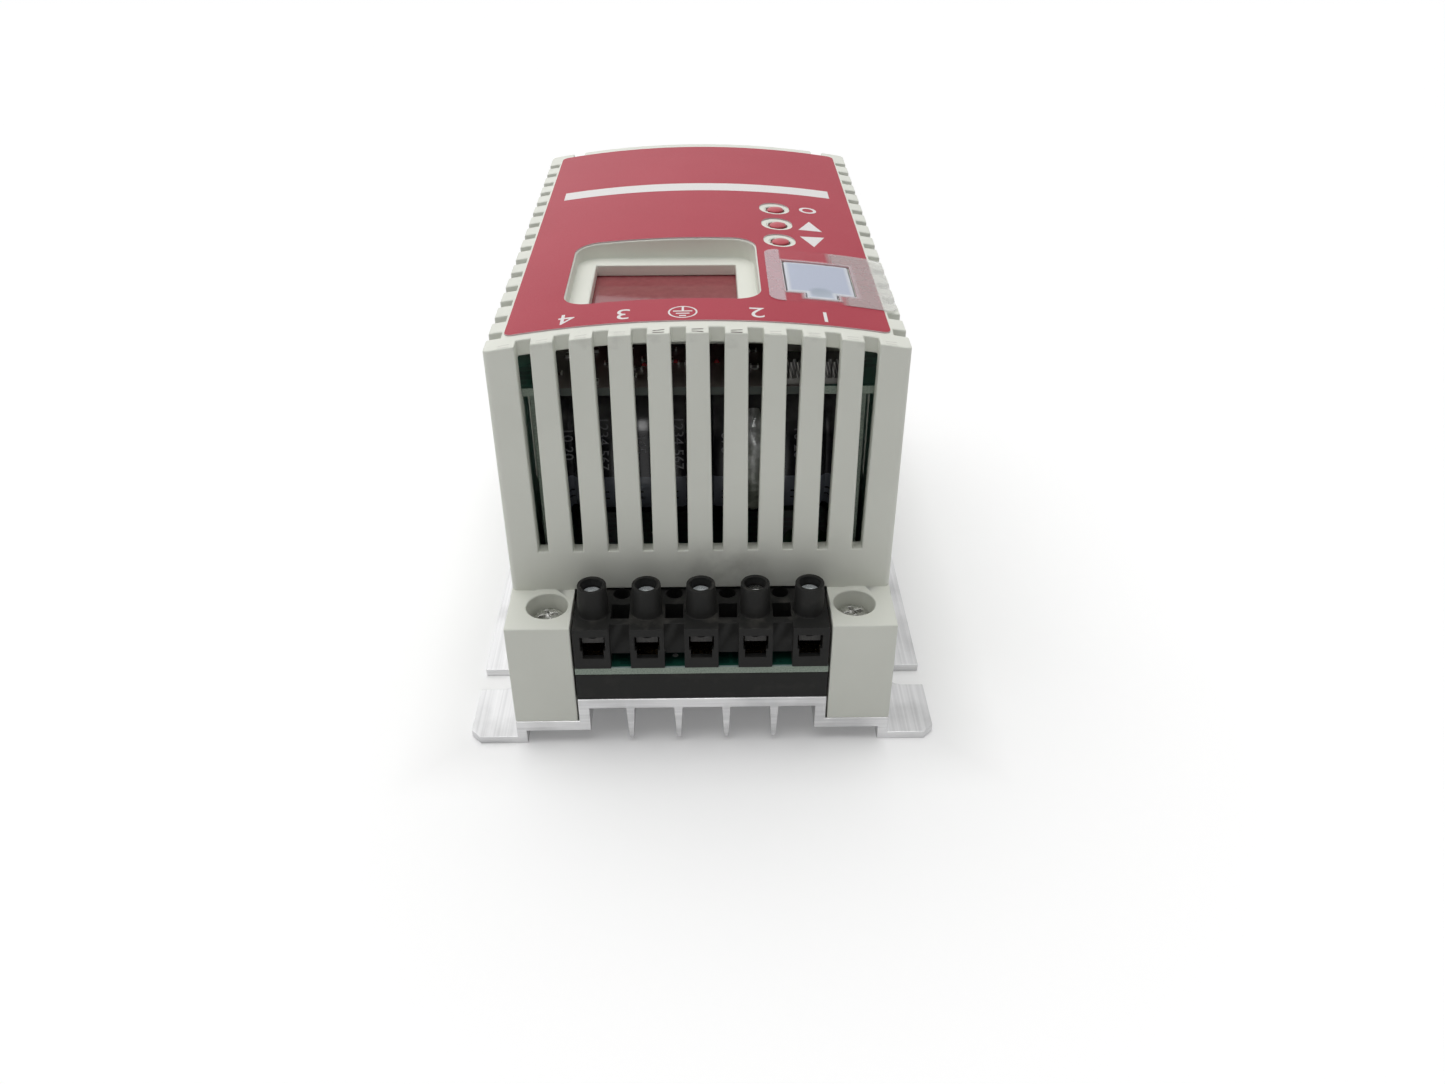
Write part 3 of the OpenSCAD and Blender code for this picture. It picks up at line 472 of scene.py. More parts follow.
dipped_green = speckled("thermistor_green", 500, (0.030, 0.16, 0.065), (0.050, 0.23, 0.095),
                        (0.32, 0.48), 0.08, detail=4, Coat_Weight=0.5, Coat_Roughness=0.2)
dress("thermistor", 0.4, dipped_green, "thermistor_green")


# Supply transformer: a small ferrite core on a moulded bobbin, glued and soldered to the power board.
# The two core halves are pressed and fired, so the outside is dull, dark and a little rough.

ferrite = speckled("ferrite", 2600, (0.028, 0.028, 0.030), (0.055, 0.054, 0.056),
                   (0.5, 0.68), 0.03, detail=4, Specular_IOR_Level=0.35)
dress("supply_transformer", 0.2, ferrite, "ferrite")


# Board link: a white moulded pin strip that carries the signals from the power board to the control board.
# It is nylon, pushed over its pins and soldered at the foot.

nylon = speckled("white_nylon", 1500, (0.70, 0.69, 0.64), (0.80, 0.79, 0.74),
                 (0.38, 0.5), 0.015, Specular_IOR_Level=0.45)
dress("board_link", 0.15, nylon, "white_plastic")


# Side boards: two upright circuit boards by the side walls, which carry the bus capacitors.
# Small surface mounted parts stand on the outer face of each, under the side vents.

upright_board = board_finish("circuit_board_upright", 1, 2, 0)
for side in ("left", "right"):
    dress("side_board_" + side, 0.1, upright_board, "circuit_board")

chip_part, shader, where = surface("small_parts", Specular_IOR_Level=0.5)
tinned = put(where.id_data, "ShaderNodeAttribute", attribute_name="tinned").outputs["Fac"]
fleck = grain(where, 3800, detail=2)
dark_case = shade(fleck, (0.018, 0.018, 0.020), (0.10, 0.085, 0.065))
paint(shader, shade(tinned, dark_case, (0.60, 0.60, 0.58)))
plug(shader.inputs["Metallic"], tinned)
polish(shader, fleck, 0.30, 0.45)


def small_parts(name, place, turn, width, length, spacing, seed):
    """Surface mounted parts on a strip of board: dark bodies between two tinned ends."""
    sizes = dict(Width=width * MM, Length=length * MM, Spacing=spacing * MM, Seed=seed,
                 Part=(1.0 * MM, 0.9 * MM, 0.55 * MM), End=(0.35 * MM, 0.94 * MM, 0.5 * MM),
                 Place=tuple(v * MM for v in place), Turn=tuple(math.radians(v) for v in turn))
    tree, size = node_form(name, **sizes)
    strip = made("GeometryNodeMeshGrid",
                 {"Size X": size["Width"], "Size Y": size["Length"], "Vertices X": 2, "Vertices Y": 2})
    spots = made("GeometryNodeDistributePointsOnFaces",
                 {"Mesh": strip, "Distance Min": size["Spacing"], "Density Max": 60000.0, "Seed": size["Seed"]},
                 distribute_method="POISSON")
    whole = put(tree, "GeometryNodeJoinGeometry")
    end_at, middle_up = 0.62, 0.27
    for part, at, tin in (("Part", 0.0, 0.0), ("End", -end_at, 1.0), ("End", end_at, 1.0)):
        case = made("GeometryNodeMeshCube", {"Size": size[part]})
        case = made("GeometryNodeTransform", {"Geometry": case, "Translation": (at * MM, 0, middle_up * MM)})
        case = made("GeometryNodeStoreNamedAttribute", {"Geometry": case, "Name": "tinned", "Value": tin},
                    data_type="FLOAT")
        tree.links.new(case, whole.inputs[0])
    chance = put(tree, "FunctionNodeRandomValue", {4: 0, 5: 1, "Seed": size["Seed"]}, data_type="INT")
    spun = vector(Z=times(chance.outputs[2], math.pi / 2))
    spun = made("FunctionNodeEulerToRotation", {0: spun})
    placed = made("GeometryNodeInstanceOnPoints",
                  {"Points": spots, "Instance": whole.outputs[0], "Rotation": spun})
    facing_out = made("FunctionNodeEulerToRotation", {0: size["Turn"]})
    placed = made("GeometryNodeTransform",
                  {"Geometry": placed, "Translation": size["Place"], "Rotation": facing_out})
    fit(grown(name, tree, placed, chip_part, **sizes), None, "black_plastic")


small_parts("side_parts_left", (-30.3, -19.8, 46.0), (0, -90, 0), 40, 62, 3.4, 5)
small_parts("side_parts_right", (30.3, -19.8, 46.0), (0, 90, 0), 40, 62, 3.4, 9)


# Bus capacitors: four aluminium cans in black heat-shrunk sleeves, on their sides between the side boards.
# The sleeve folds over the rim of the scored end, dips in the crimp by the seal, and has a pale stripe.

can_r, can_z = 15.0, 51.5
can_base, can_end = 28.7, 2.3
can_rows = (-40.1, -8.6)
stripe_from, stripe_to, sign_at = 0.504, 0.602, 0.553
dust_and_sheen_low, dust_and_sheen_high = 0.0585, 0.0615


def apart(value, other):
    """How far apart two values are."""
    return calc("ABSOLUTE", less(value, other))


sleeve, shader, where = surface("capacitor_sleeve", Specular_IOR_Level=0.3, Coat_Weight=0.2,
                                Coat_Roughness=0.12)
around, along = axes(put(where.id_data, "ShaderNodeUVMap").outputs[0])[:2]
shrink = grain(where, 800, (0.15, 1, 1))
stripe = times(calc("GREATER_THAN", around, stripe_from), calc("LESS_THAN", around, stripe_to))
dash = calc("PINGPONG", times(along, 4.0), 0.5)
off_middle = apart(around, sign_at)
off_line = apart(off_middle, 0.010)
minus = times(calc("LESS_THAN", off_line, 0.0025), calc("GREATER_THAN", dash, 0.28))
printed = less(stripe, minus)
# Paler high on the cans: partly dust on their upper side, partly a painted sheen where they face the light.
dust = span(grain(where, 240, detail=4), 0.3, 0.65, 0.25, 1.0)
dust = times(span(axes(where)[2], dust_and_sheen_low, dust_and_sheen_high), dust)
black_sleeve = shade(shrink, (0.010, 0.010, 0.012), (0.022, 0.022, 0.026))
striped = shade(printed, black_sleeve, (0.125, 0.135, 0.160))
paint(shader, shade(dust, striped, (0.17, 0.168, 0.17)))
polish(shader, shrink, 0.13, 0.22)
relief(shader, shrink, 0.02)

can_metal = speckled("can_aluminium", 2200, (0.66, 0.66, 0.65), (0.78, 0.78, 0.77),
                     (0.28, 0.40), 0.01, Metallic=1.0)
rubber = speckled("seal_rubber", 900, (0.018, 0.018, 0.018), (0.034, 0.033, 0.032), None, 0.03, Roughness=0.7)


def stand(name, form):
    """Makes a piece from a bmesh, smooth except at its sharp edges."""
    for face in form.faces:
        face.smooth = True
    for edge in form.edges:
        if len(edge.link_faces) == 2 and edge.calc_face_angle(0) > math.radians(38):
            edge.smooth = False
    return held(name, form)


def turned(name, outline, centre, toward, steps=64):
    """A form turned round the X axis: outline is (distance along, radius) in mm, from axis to axis."""
    form = bmesh.new()
    wrap = form.loops.layers.uv.new("round")
    rings = []
    for along, radius in outline:
        turns = [math.tau * i / steps for i in range(steps if radius else 1)]
        x = centre[0] + toward * along
        at = [(x, centre[1] + radius * math.cos(turn), centre[2] + radius * math.sin(turn)) for turn in turns]
        rings.append([form.verts.new(Vector(spot) * MM) for spot in at])
    longest = max(along for along, radius in outline)
    for (low, here), (high, there) in zip(zip(outline, rings), zip(outline[1:], rings[1:])):
        for i in range(steps):
            j = (i + 1) % steps
            corners = [(here[i % len(here)], i, low[0]), (here[j % len(here)], i + 1, low[0]),
                       (there[j % len(there)], i + 1, high[0]), (there[i % len(there)], i, high[0])]
            corners = [c for n, c in enumerate(corners) if c[0] not in [d[0] for d in corners[:n]]]
            if len(corners) > 2:
                face = form.faces.new([c[0] for c in corners])
                for loop, corner in zip(face.loops, corners):
                    loop[wrap].uv = (corner[1] / steps, corner[2] / longest)
    bmesh.ops.recalc_face_normals(form, faces=form.faces)
    return stand(name, form)


length = can_base - can_end
sleeve_line = ((1.2, can_r), (1.2, 2.2), (0.25, 1.6), (0, 1.0), (0.15, 0.35), (0.7, 0), (3.2, 0), (3.7, 0.25),
               (4.2, 0.8), (4.8, 0.8), (5.3, 0.25), (5.8, 0), (length - 1.0, 0), (length - 0.35, 0.3),
               (length, 1.0), (length, 2.4), (length - 0.35, 2.5), (length - 0.35, can_r))
end_line = ((length - 0.4, can_r), (length - 0.4, 2.2), (length - 0.25, 2.3), (length - 0.18, 2.6),
            (length - 0.18, can_r))
seal_line = ((0.3, can_r), (0.3, 2.4), (0.6, 2.0), (1.25, 1.95), (1.25, can_r))
can_parts = (("sleeve", sleeve_line, sleeve, "capacitor_sleeve"), ("end", end_line, can_metal, "mill_aluminium"),
             ("seal", seal_line, rubber, "black_plastic"))
can_places = [(toward, row) for toward in (1, -1) for row in can_rows]
for number, (toward, row) in enumerate(can_places, 1):
    for part, outline, finish, slot in can_parts:
        profile = [(along, can_r - sunk) for along, sunk in outline]
        piece = turned("can_%s_%d" % (part, number), profile, (-toward * can_base, row, can_z), toward)
        fit(piece, finish, slot, *(["bus_capacitor_%d" % number] if part == "sleeve" else []))

can_text, text_turn, ink_t = 2.7, math.radians(24), 0.05
grey_ink = speckled("grey_ink", 4000, (0.17, 0.17, 0.18), (0.11, 0.11, 0.12),
                    None, 0.0, detail=2, low=0.35, Roughness=0.45)


def numerals(text, size):
    """A flat form of plain numbers in mm, from the middle of the text."""
    letters = bpy.data.curves.new("numbers", "FONT")
    letters.body = text
    letters.size = size
    letters.align_x = letters.align_y = "CENTER"
    sample = held("numbers", letters)
    flat = bpy.data.meshes.new_from_object(sample.evaluated_get(bpy.context.evaluated_depsgraph_get()))
    bpy.data.objects.remove(sample)
    form = bmesh.new()
    form.from_mesh(flat)
    bmesh.ops.remove_doubles(form, verts=form.verts, dist=0.001)
    return form


def inked(name, form, laid, finish, slot):
    """Gives a flat form in mm the thickness of ink, and lays it on a surface by a rule for each corner."""
    bmesh.ops.triangulate(form, faces=form.faces)
    bmesh.ops.recalc_face_normals(form, faces=form.faces)
    if sum(face.normal.z for face in form.faces) < 0:
        bmesh.ops.reverse_faces(form, faces=form.faces)
    under = form.faces[:]
    raised = bmesh.ops.extrude_face_region(form, geom=under, use_keep_orig=True)["geom"]
    top = {part for part in raised if isinstance(part, bmesh.types.BMVert)}
    for corner in form.verts:
        corner.co = Vector(laid(corner.co.x, corner.co.y, corner in top)) * MM
    bmesh.ops.reverse_faces(form, faces=under)
    fit(stand(name, form), finish, slot)


def down_the_can(middle):
    """The rule that lays numbers down the front of a can, round a place along it."""
    def laid(x, y, raised):
        turn = text_turn - x / can_r
        reach = can_r + (ink_t if raised else -ink_t)
        return middle + y, can_rows[0] - reach * math.cos(turn), can_z + reach * math.sin(turn)
    return laid


can_texts = ((-24.6, "10 20"), (-18.0, "1234 567"), (-11.0, "345"), (-4.0, "1234 567"), (5.0, "678"),
             (18.6, "10 20"))
for number, (middle, text) in enumerate(can_texts, 1):
    inked("can_numbers_%d" % number, numerals(text, can_text), down_the_can(middle), grey_ink, "capacitor_sleeve")


# Glue bead: a run of milky hot glue down the front of a capacitor, which keeps it from shaking.
# It went on from a nozzle, so it is lumpy, glossy and thin at both ends.

glue, shader, where = surface("milky_glue", Roughness=0.16, Specular_IOR_Level=0.5)
cloudy = grain(where, 420)
# The colour is painted lighter towards the top, a painted glare, and darker low down, a painted shade; the cloudy
# noise mixes clearer and milkier glue.
glare_and_shade_by_height = span(axes(where)[2], 0.047, 0.062)
clearer_glue_painted_light = shade(glare_and_shade_by_height, (0.13, 0.145, 0.115), (0.42, 0.43, 0.41))
milkier_glue_painted_light = shade(glare_and_shade_by_height, (0.26, 0.275, 0.22), (0.84, 0.85, 0.86))
paint(shader, mottle(cloudy, clearer_glue_painted_light, milkier_glue_painted_light, 0.38, 0.62))
relief(shader, cloudy, 0.4)
bead = dict(First=math.radians(48), Last=math.radians(-36), Points=60, Width=2.5 * MM, Flat=0.55,
            Reach=(can_r + 0.3) * MM, Lumps=420.0, Centre=(10.3 * MM, can_rows[0] * MM, can_z * MM))
tree, size = node_form("glue_bead", **bead)
share = calc("DIVIDE", put(tree, "GeometryNodeInputIndex").outputs[0], less(size["Points"], 1))
turn = span(share, 0.0, 1.0, size["First"], size["Last"])
at = vector(Y=times(size["Reach"], calc("COSINE", turn), -1.0), Z=times(size["Reach"], calc("SINE", turn)))
at = made("ShaderNodeVectorMath", {0: at, 1: size["Centre"]}, operation="ADD")
line = strung(tree, size["Points"], at)
lump = made("ShaderNodeTexNoise", {"Vector": at, "Scale": size["Lumps"], "Detail": 1.0})
taper = calc("POWER", calc("SINE", times(span(share, 0.0, 1.0, 0.03, 0.97), math.pi)), 0.4)
thick = times(size["Width"], taper, span(lump, 0.25, 0.75, 0.6, 1.2))
section = put(tree, "GeometryNodeCurvePrimitiveCircle", {"Resolution": 16, "Radius": 1.0}).outputs[0]
flatten = vector(X=1.0, Y=size["Flat"], Z=1.0)
section = made("GeometryNodeTransform", {"Geometry": section, "Scale": flatten})
run = made("GeometryNodeCurveToMesh",
           {"Curve": line, "Profile Curve": section, "Scale": thick, "Fill Caps": True})
fit(grown("glue_bead", tree, run, glue, **bead), None, "clear_film")


# Mains and motor terminal blocks: black moulded rows of wire boxes with a screw tower for each wire.
# They stand on the power board between the legs of the housing, with their pins soldered in it.

box_rear, box_front, box_low, box_high = 59.5, 72.9, 19.2, 28.3


def in_the_boxes(spot):
    """Whether a place is inside the wire boxes, behind their front walls and under their tops."""
    return box_rear < abs(spot.y) < box_front and box_low < spot.z < box_high


for wire_boxes in ("input_terminal_block", "output_terminal_block"):
    dress(wire_boxes, 0.15, terminal_black, "terminal_black", within=in_the_boxes)


# Terminal contacts: bent brass strips that run from the wire boxes to the board.
# They are stamped, pushed in from below and soldered. Their brass is painted dark, a painted shade inside the
# boxes, with patches of tarnish.

brass, shader, where = surface("contact_brass", Metallic=1.0)
rolled = grain(where, 2400, (1, 1, 0.05))
tarnish = grain(where, 350, detail=4)
# Brass painted dark all over, a painted shade, with darker patches of tarnish.
brass_painted_dark = shade(rolled, (0.26, 0.19, 0.095), (0.34, 0.26, 0.13))
paint(shader, mottle(tarnish, brass_painted_dark, (0.10, 0.075, 0.045), 0.45, 0.75))
polish(shader, rolled, 0.24, 0.38)
relief(shader, rolled, 0.008)
for contacts in ("input_contacts", "output_contacts"):
    dress(contacts, 0.08, brass, "contact_brass")


# Wire clamps and terminal screws: pressed steel cages that slide in the wire boxes, drawn by slotted screws.
# The cages are dull and dark, and the screws plated. A screw turns in its tower while its cage goes down.

cage_steel = speckled("cage_steel", 3000, (0.055, 0.054, 0.052), (0.085, 0.083, 0.080),
                      (0.45, 0.6), 0.01, stretch=(1, 1, 0.2), Metallic=0.1, Specular_IOR_Level=0.2)
# A lighter, bluish copy of the zinc plating, a painted highlight.
plate_painted_light = speckled("plate_painted_light", 4600, (0.70, 0.76, 0.78), (0.86, 0.90, 0.92),
                        (0.18, 0.3), 0.008, Metallic=0.55)
for row, count in (("input", 5), ("output", 4)):
    for number in range(1, count + 1):
        cage = "%s_clamp_%d" % (row, number)
        screw = "%s_screw_%d" % (row, number)
        dress(cage, 0.1, cage_steel, "clamp_steel", body=cage)
        # All screws but the fourth input screw get the lighter copy, a painted highlight; the fourth keeps the
        # plain zinc and stays darker, a painted shade.
        plating = zinc if screw == "input_screw_4" else plate_painted_light
        dress(screw, 0.15, plating, "zinc_steel", body=screw)


# Control terminal strip: a green moulded block with wire entries in the rear wall and a row of small screws.
# It is soldered to the control board, and each plated screw sits at the foot of its own well.

strip_green = speckled("strip_green", 3000, (0.022, 0.20, 0.075), (0.034, 0.26, 0.105),
                       (0.36, 0.5), 0.02, Specular_IOR_Level=0.45)
dress("control_terminal_strip", 0.2, strip_green, "strip_green")
dress("control_screws", 0.06, zinc, "zinc_steel")


# Control board: a circuit board on four posts under the roof of the housing, with small parts along its front.
# It carries the display, a pin header, three lamps, the key switches, the module socket and the processor.

display_board = board_finish("circuit_board_display", 0, 1, 2, black=25.0)
control_face = 70.9
comb_pitch, comb_lean, comb_low = 0.55, 0.25, 72.3
dress("control_board", 0.1, display_board, "circuit_board")
small_parts("front_parts", (-8.0, -48.5, control_face), (0, 0, 0), 40, 14, 2.4, 3)
small_parts("rear_parts", (4.0, 34.0, control_face), (0, 0, 0), 52, 12, 3.2, 4)
comb, shader, where = surface("comb_header", Roughness=0.4, Specular_IOR_Level=0.4)
place = axes(where)
slanted = calc("ADD", place[0], times(place[2], comb_lean))
teeth = calc("PINGPONG", calc("DIVIDE", slanted, comb_pitch * MM), 0.5)
over_foot = calc("GREATER_THAN", place[2], comb_low * MM)
on_front = times(calc("GREATER_THAN", facing(where)[1], 0.6), over_foot)
pins = times(calc("LESS_THAN", teeth, 0.14), on_front)
rough_mould = grain(where, 2600)
# The white nylon is painted dark grey, a painted shade inside the housing, and a little less dark along its foot.
moulding_painted_shade = shade(span(place[2], 0.0721, 0.0724, 1.0, 0.0), (0.060, 0.058, 0.054), (0.20, 0.195, 0.18))
moulding_painted_shade = shade(span(rough_mould, 0.4, 0.8, 0.0, 0.4), moulding_painted_shade, (0.10, 0.096, 0.09))
paint(shader, shade(pins, moulding_painted_shade, (0.34, 0.33, 0.31)))
relief(shader, rough_mould, 0.015)

lamp_red, shader, where = surface("lamp_red", Roughness=0.25, Specular_IOR_Level=0.5)
tint = grain(where, 2500, detail=2)
paint(shader, shade(tint, (0.40, 0.015, 0.02), (0.55, 0.03, 0.04)))
form = bmesh.new()
for x, y in ((-10.0, -48.3), (-4.2, -47.1), (3.4, -47.2)):
    for wide, deep, low, high in ((0.5, 0.5, 0.0, 0.25), (0.33, 0.42, 0.2, 0.55)):
        cube = bmesh.ops.create_cube(form, size=1.0)["verts"]
        bmesh.ops.scale(form, verts=cube, vec=(2 * wide * MM, deep * MM, (high - low) * MM))
        bmesh.ops.translate(form, verts=cube, vec=Vector((x, y, control_face + (low + high) / 2)) * MM)
bmesh.ops.bevel(form, geom=form.edges[:], offset=0.07 * MM, segments=2, affect="EDGES")
fit(stand("indicator_lamps", form), lamp_red, "circuit_board")
for node, width, finish, slot in (("controller_chip", 0.15, moulded_black, "black_plastic"),
                                  ("key_switches", 0.2, moulded_black, "black_plastic"),
                                  ("module_socket", 0.2, nylon, "white_plastic"),
                                  ("pin_header", 0.1, comb, "white_plastic"),
                                  ("control_board_screws", 0.1, zinc, "zinc_steel")):
    dress(node, width, finish, slot)


# Chip leads: tinned gull wing leads on the four sides of the processor, formed from a stamped frame.
# Each goes out flat, bends down and ends in a foot soldered to the board.

chip_x, chip_y, chip_side = -13.0, 19.0, 14.0
lead_pitch, lead_count, lead_w, lead_t = 0.8, 16, 0.35, 0.12
lead_drop = 0.78

lead_sizes = dict(Pitch=lead_pitch * MM, Count=lead_count, Lead=lead_w * MM, Side=chip_side / 2 * MM,
                  Place=(chip_x * MM, chip_y * MM, control_face * MM))
tree, size = node_form("chip_leads", **lead_sizes)
one_lead = put(tree, "GeometryNodeJoinGeometry")
bends = ((0.2, 0.75, 0.5, lead_t), (0.5, 0.42, 0.16, lead_drop), (0.85, 0.08, 0.75, lead_t))
for outward, up, length, depth in bends:
    bend = vector(X=size["Lead"], Y=length * MM, Z=depth * MM)
    bend = made("GeometryNodeMeshCube", {"Size": bend})
    bend = made("GeometryNodeTransform", {"Geometry": bend, "Translation": (0, outward * MM, up * MM)})
    tree.links.new(bend, one_lead.inputs[0])
sides = put(tree, "GeometryNodeJoinGeometry")
for quarter in range(4):
    first = times(less(size["Count"], 1), size["Pitch"], -0.5)
    start = vector(X=first, Y=size["Side"])
    offset = vector(X=size["Pitch"])
    row = made("GeometryNodeMeshLine", {"Count": size["Count"], "Start Location": start, "Offset": offset})
    row = made("GeometryNodeInstanceOnPoints", {"Points": row, "Instance": one_lead.outputs[0]})
    spin = put(tree, "FunctionNodeEulerToRotation", {0: (0, 0, quarter * math.pi / 2)}).outputs[0]
    row = made("GeometryNodeTransform", {"Geometry": row, "Translation": size["Place"], "Rotation": spin})
    tree.links.new(row, sides.inputs[0])
fit(grown("chip_leads", tree, sides.outputs[0], zinc, **lead_sizes), None, "zinc_steel")


# Display: a moulded block with four unlit digits of seven bars each, under the window.
# The digits face a reader who stands at the rear end of the drive.

digit_x, digit_y, digit_top = -6.45, -29.85, 74.55
digit_w, digit_h, digit_pitch = 3.6, 7.4, 6.1
bar_w, bar_t, bar_gap, bar_sunk = 0.9, 0.05, 0.12, 0.03

display_face = speckled("display_face", 1800, (0.030, 0.020, 0.021), (0.050, 0.034, 0.036),
                        (0.3, 0.42), 0.01, detail=2, Specular_IOR_Level=0.5)
dress("led_display", 0.2, display_face, "display_body")

unlit = speckled("unlit_bar", 2500, (0.40, 0.24, 0.22), (0.50, 0.32, 0.30), None, 0.0, detail=2, Roughness=0.35)
form = bmesh.new()
bars = [(0, 1, 0), (0, 0, 0), (0, -1, 0), (-1, 0.5, 1), (1, 0.5, 1), (-1, -0.5, 1), (1, -0.5, 1)]
for digit in range(4):
    for across, up, upright in bars:
        at_x = digit_x + (digit - 1.5) * digit_pitch + across * digit_w / 2
        middle = Vector((at_x, digit_y + up * digit_h / 2, digit_top - bar_sunk))
        half = (digit_h / 2 if upright else digit_w) / 2 - bar_gap
        wide = bar_w / 2
        tip = half - wide
        hexagon = [(-half, 0), (-tip, -wide), (tip, -wide), (half, 0), (tip, wide), (-tip, wide)]
        if upright:
            hexagon = [(-y, x) for x, y in hexagon]
        low = [form.verts.new((middle + Vector((x, y, 0))) * MM) for x, y in hexagon]
        high = [form.verts.new((middle + Vector((x, y, bar_t))) * MM) for x, y in hexagon]
        form.faces.new(low[::-1])
        form.faces.new(high)
        for i in range(6):
            form.faces.new((low[i], low[(i + 1) % 6], high[(i + 1) % 6], high[i]))
fit(stand("display_bars", form), unlit, "display_body")


# Housing: a moulded shell of off-white plastic with vent slots, an arched roof and a skirt over the terminals.
# Handling has left grey scuffs on the ribs along its front top edge.

rib_pitch = 6.68

housing_plastic, shader, where = surface("housing_plastic", Specular_IOR_Level=0.3)
spark = grain(where, 3600)
cast = grain(where, 55)
place = axes(where)
plain = mottle(cast, (0.730, 0.742, 0.676), (0.765, 0.778, 0.710))
by_edge = times(span(place[2], 0.0796, 0.0800), span(place[1], -0.0584, -0.0588))
from_rib = calc("WRAP", place[0], rib_pitch / 2 * MM, -rib_pitch / 2 * MM)
middle_ribs = span(calc("ABSOLUTE", place[0]), 0.0085, 0.0095, 1.0, 0.0)
short = span(calc("ABSOLUTE", from_rib), 0.00085, 0.00115, 1.0, 0.0)
wander = times(less(grain(where, 130, detail=0), 0.5), 0.9 * MM)
lines = 0.0
for line, lean in ((-59.15, 0.10), (-60.05, -0.06)):
    drawn = calc("ADD", line * MM, times(from_rib, lean))
    off = less(calc("ADD", place[1], wander), drawn)
    lines = calc("MAXIMUM", lines, span(calc("ABSOLUTE", off), 0.00012, 0.00026, 1.0, 0.0))
streak = times(lines, short, span(grain(where, 1500, detail=2), 0.3, 0.45, 0.7, 1.0))
scuffs_and_darkening = times(by_edge, times(streak, span(middle_ribs, 0.0, 1.0, 0.2, 1.0)))
smudge = times(by_edge, span(grain(where, 330, (1, 0.6, 1), 4), 0.5, 0.72, 0.0, 0.14))
# A soft, brownish darker patch on the front wall above the terminal block, fading out from its middle.
to_side = calc("DIVIDE", less(place[0], 5 * MM), 13 * MM)
to_height = calc("DIVIDE", less(place[2], 34 * MM), 7 * MM)
away = calc("SQRT", calc("ADD", times(to_side, to_side), times(to_height, to_height)))
at_front = span(place[1], -0.0598, -0.0600)
front_wall_darkening = times(span(away, 0.1, 1.0, 0.30, 0.0), at_front, span(grain(where, 300, detail=5), 0.3, 0.7))
knocks = span(grain(where, 300, detail=6), 0.74, 0.78, 0.0, 0.10)
scuffs_and_darkening = calc("MAXIMUM", calc("MAXIMUM", scuffs_and_darkening, smudge), calc("MAXIMUM", front_wall_darkening, knocks))
paint(shader, shade(scuffs_and_darkening, plain, (0.085, 0.070, 0.060)))
polish(shader, spark, 0.44, 0.58)
relief(shader, spark, 0.018)
skirt_ends = [(x, y, 28.9) for x in (-37, -24.7, 24.7, 37) for y in (-60.6, 56.4)]
dress("housing", 0.3, housing_plastic, "housing_plastic", leave=skirt_ends)


# Window: a red tinted acrylic pane behind the opening in the roof.
# It is cut from sheet and snapped in, and it hides the unlit digits.

red_window, shader, where = surface("red_window", Transmission_Weight=0.3, IOR=1.49, Specular_IOR_Level=0.3)
haze = grain(where, 700, detail=4)
paint(shader, mottle(haze, (0.34, 0.080, 0.090), (0.39, 0.100, 0.110)))
plug(shader.inputs["Roughness"], span(haze, 0.35, 0.75, 0.06, 0.16))
dress("display_window", 0.2, red_window, "red_window")


# Keys: three separate domed keys moulded in red rubber, each in its own dish in the roof.
# A press moves one down by half a millimetre, on its switch on the control board.

key_red = speckled("key_red", 2600, (0.42, 0.045, 0.065), (0.50, 0.065, 0.085),
                   (0.30, 0.44), 0.015, Specular_IOR_Level=0.5)
for key in ("key_mode", "key_up", "key_down"):
    dress(key, 0.15, key_red, "key_red", body=key)


# Housing screws: four zinc plated pan head screws with cross recesses, sunk in bores at the corners.
# They go through the legs of the housing into threads in the heatsink.

dress("housing_screws", 0.15, zinc, "zinc_steel")


# Label: a printed polyester sheet stuck over the roof, cut out round the window, the keys and the module.
# The crimson ground is screen printed, with a white bar, plain marks by the keys and numbers by the terminals.

crown_r, crown_z = 209.074, -126.274
label_low, label_high = 0.03, 0.25
label_w = 67.8
number_y, number_size = -51.9, 6.2
ink_over, ink_under = 0.022, 0.01

label_red, shader, where = surface("label_red", Specular_IOR_Level=0.12)
matt = grain(where, 5200, detail=2)
fade = grain(where, 40)
crimson = mottle(fade, (0.380, 0.038, 0.060), (0.410, 0.046, 0.070))
paint(shader, shade(span(facing(where)[2], 0.3, 0.6), (0.66, 0.52, 0.54), crimson))
polish(shader, matt, 0.36, 0.46)
relief(shader, matt, 0.008)


def sliced(form, x, near):
    """Cuts a form along the roof at a place across it."""
    everything = form.verts[:] + form.edges[:] + form.faces[:]
    bmesh.ops.bisect_plane(form, geom=everything, dist=near, plane_co=(x, 0, 0), plane_no=(1, 0, 0))


def crowned(form, low, high, width):
    """Cuts a form into strips across the roof and lays it on the arch, between two heights above it."""
    strips = 60
    for i in range(1, strips):
        sliced(form, (i / strips - 0.5) * width * MM, 1e-7)
    for corner in form.verts:
        x, y, z = corner.co / MM
        above = math.hypot(x, z - crown_z) - crown_r
        layer = low if above < (low + high) / 2 else high
        corner.co = Vector((x, y, crown_z + math.sqrt((crown_r + layer) ** 2 - x * x))) * MM


form = merged("label")
crowned(form, label_low, label_high, label_w)
fit(stand("label_sheet", form), label_red, "label_red", "label")

white_ink = speckled("white_ink", 6000, (0.74, 0.72, 0.71), (0.82, 0.80, 0.79),
                     (0.4, 0.52), 0.0, detail=2, low=0.35, Specular_IOR_Level=0.15)


def on_label(x, y, raised):
    """The rule that lays ink on the label."""
    reach = crown_r + label_high + (ink_over if raised else -ink_under)
    return x, y, crown_z + math.sqrt(reach ** 2 - x * x)


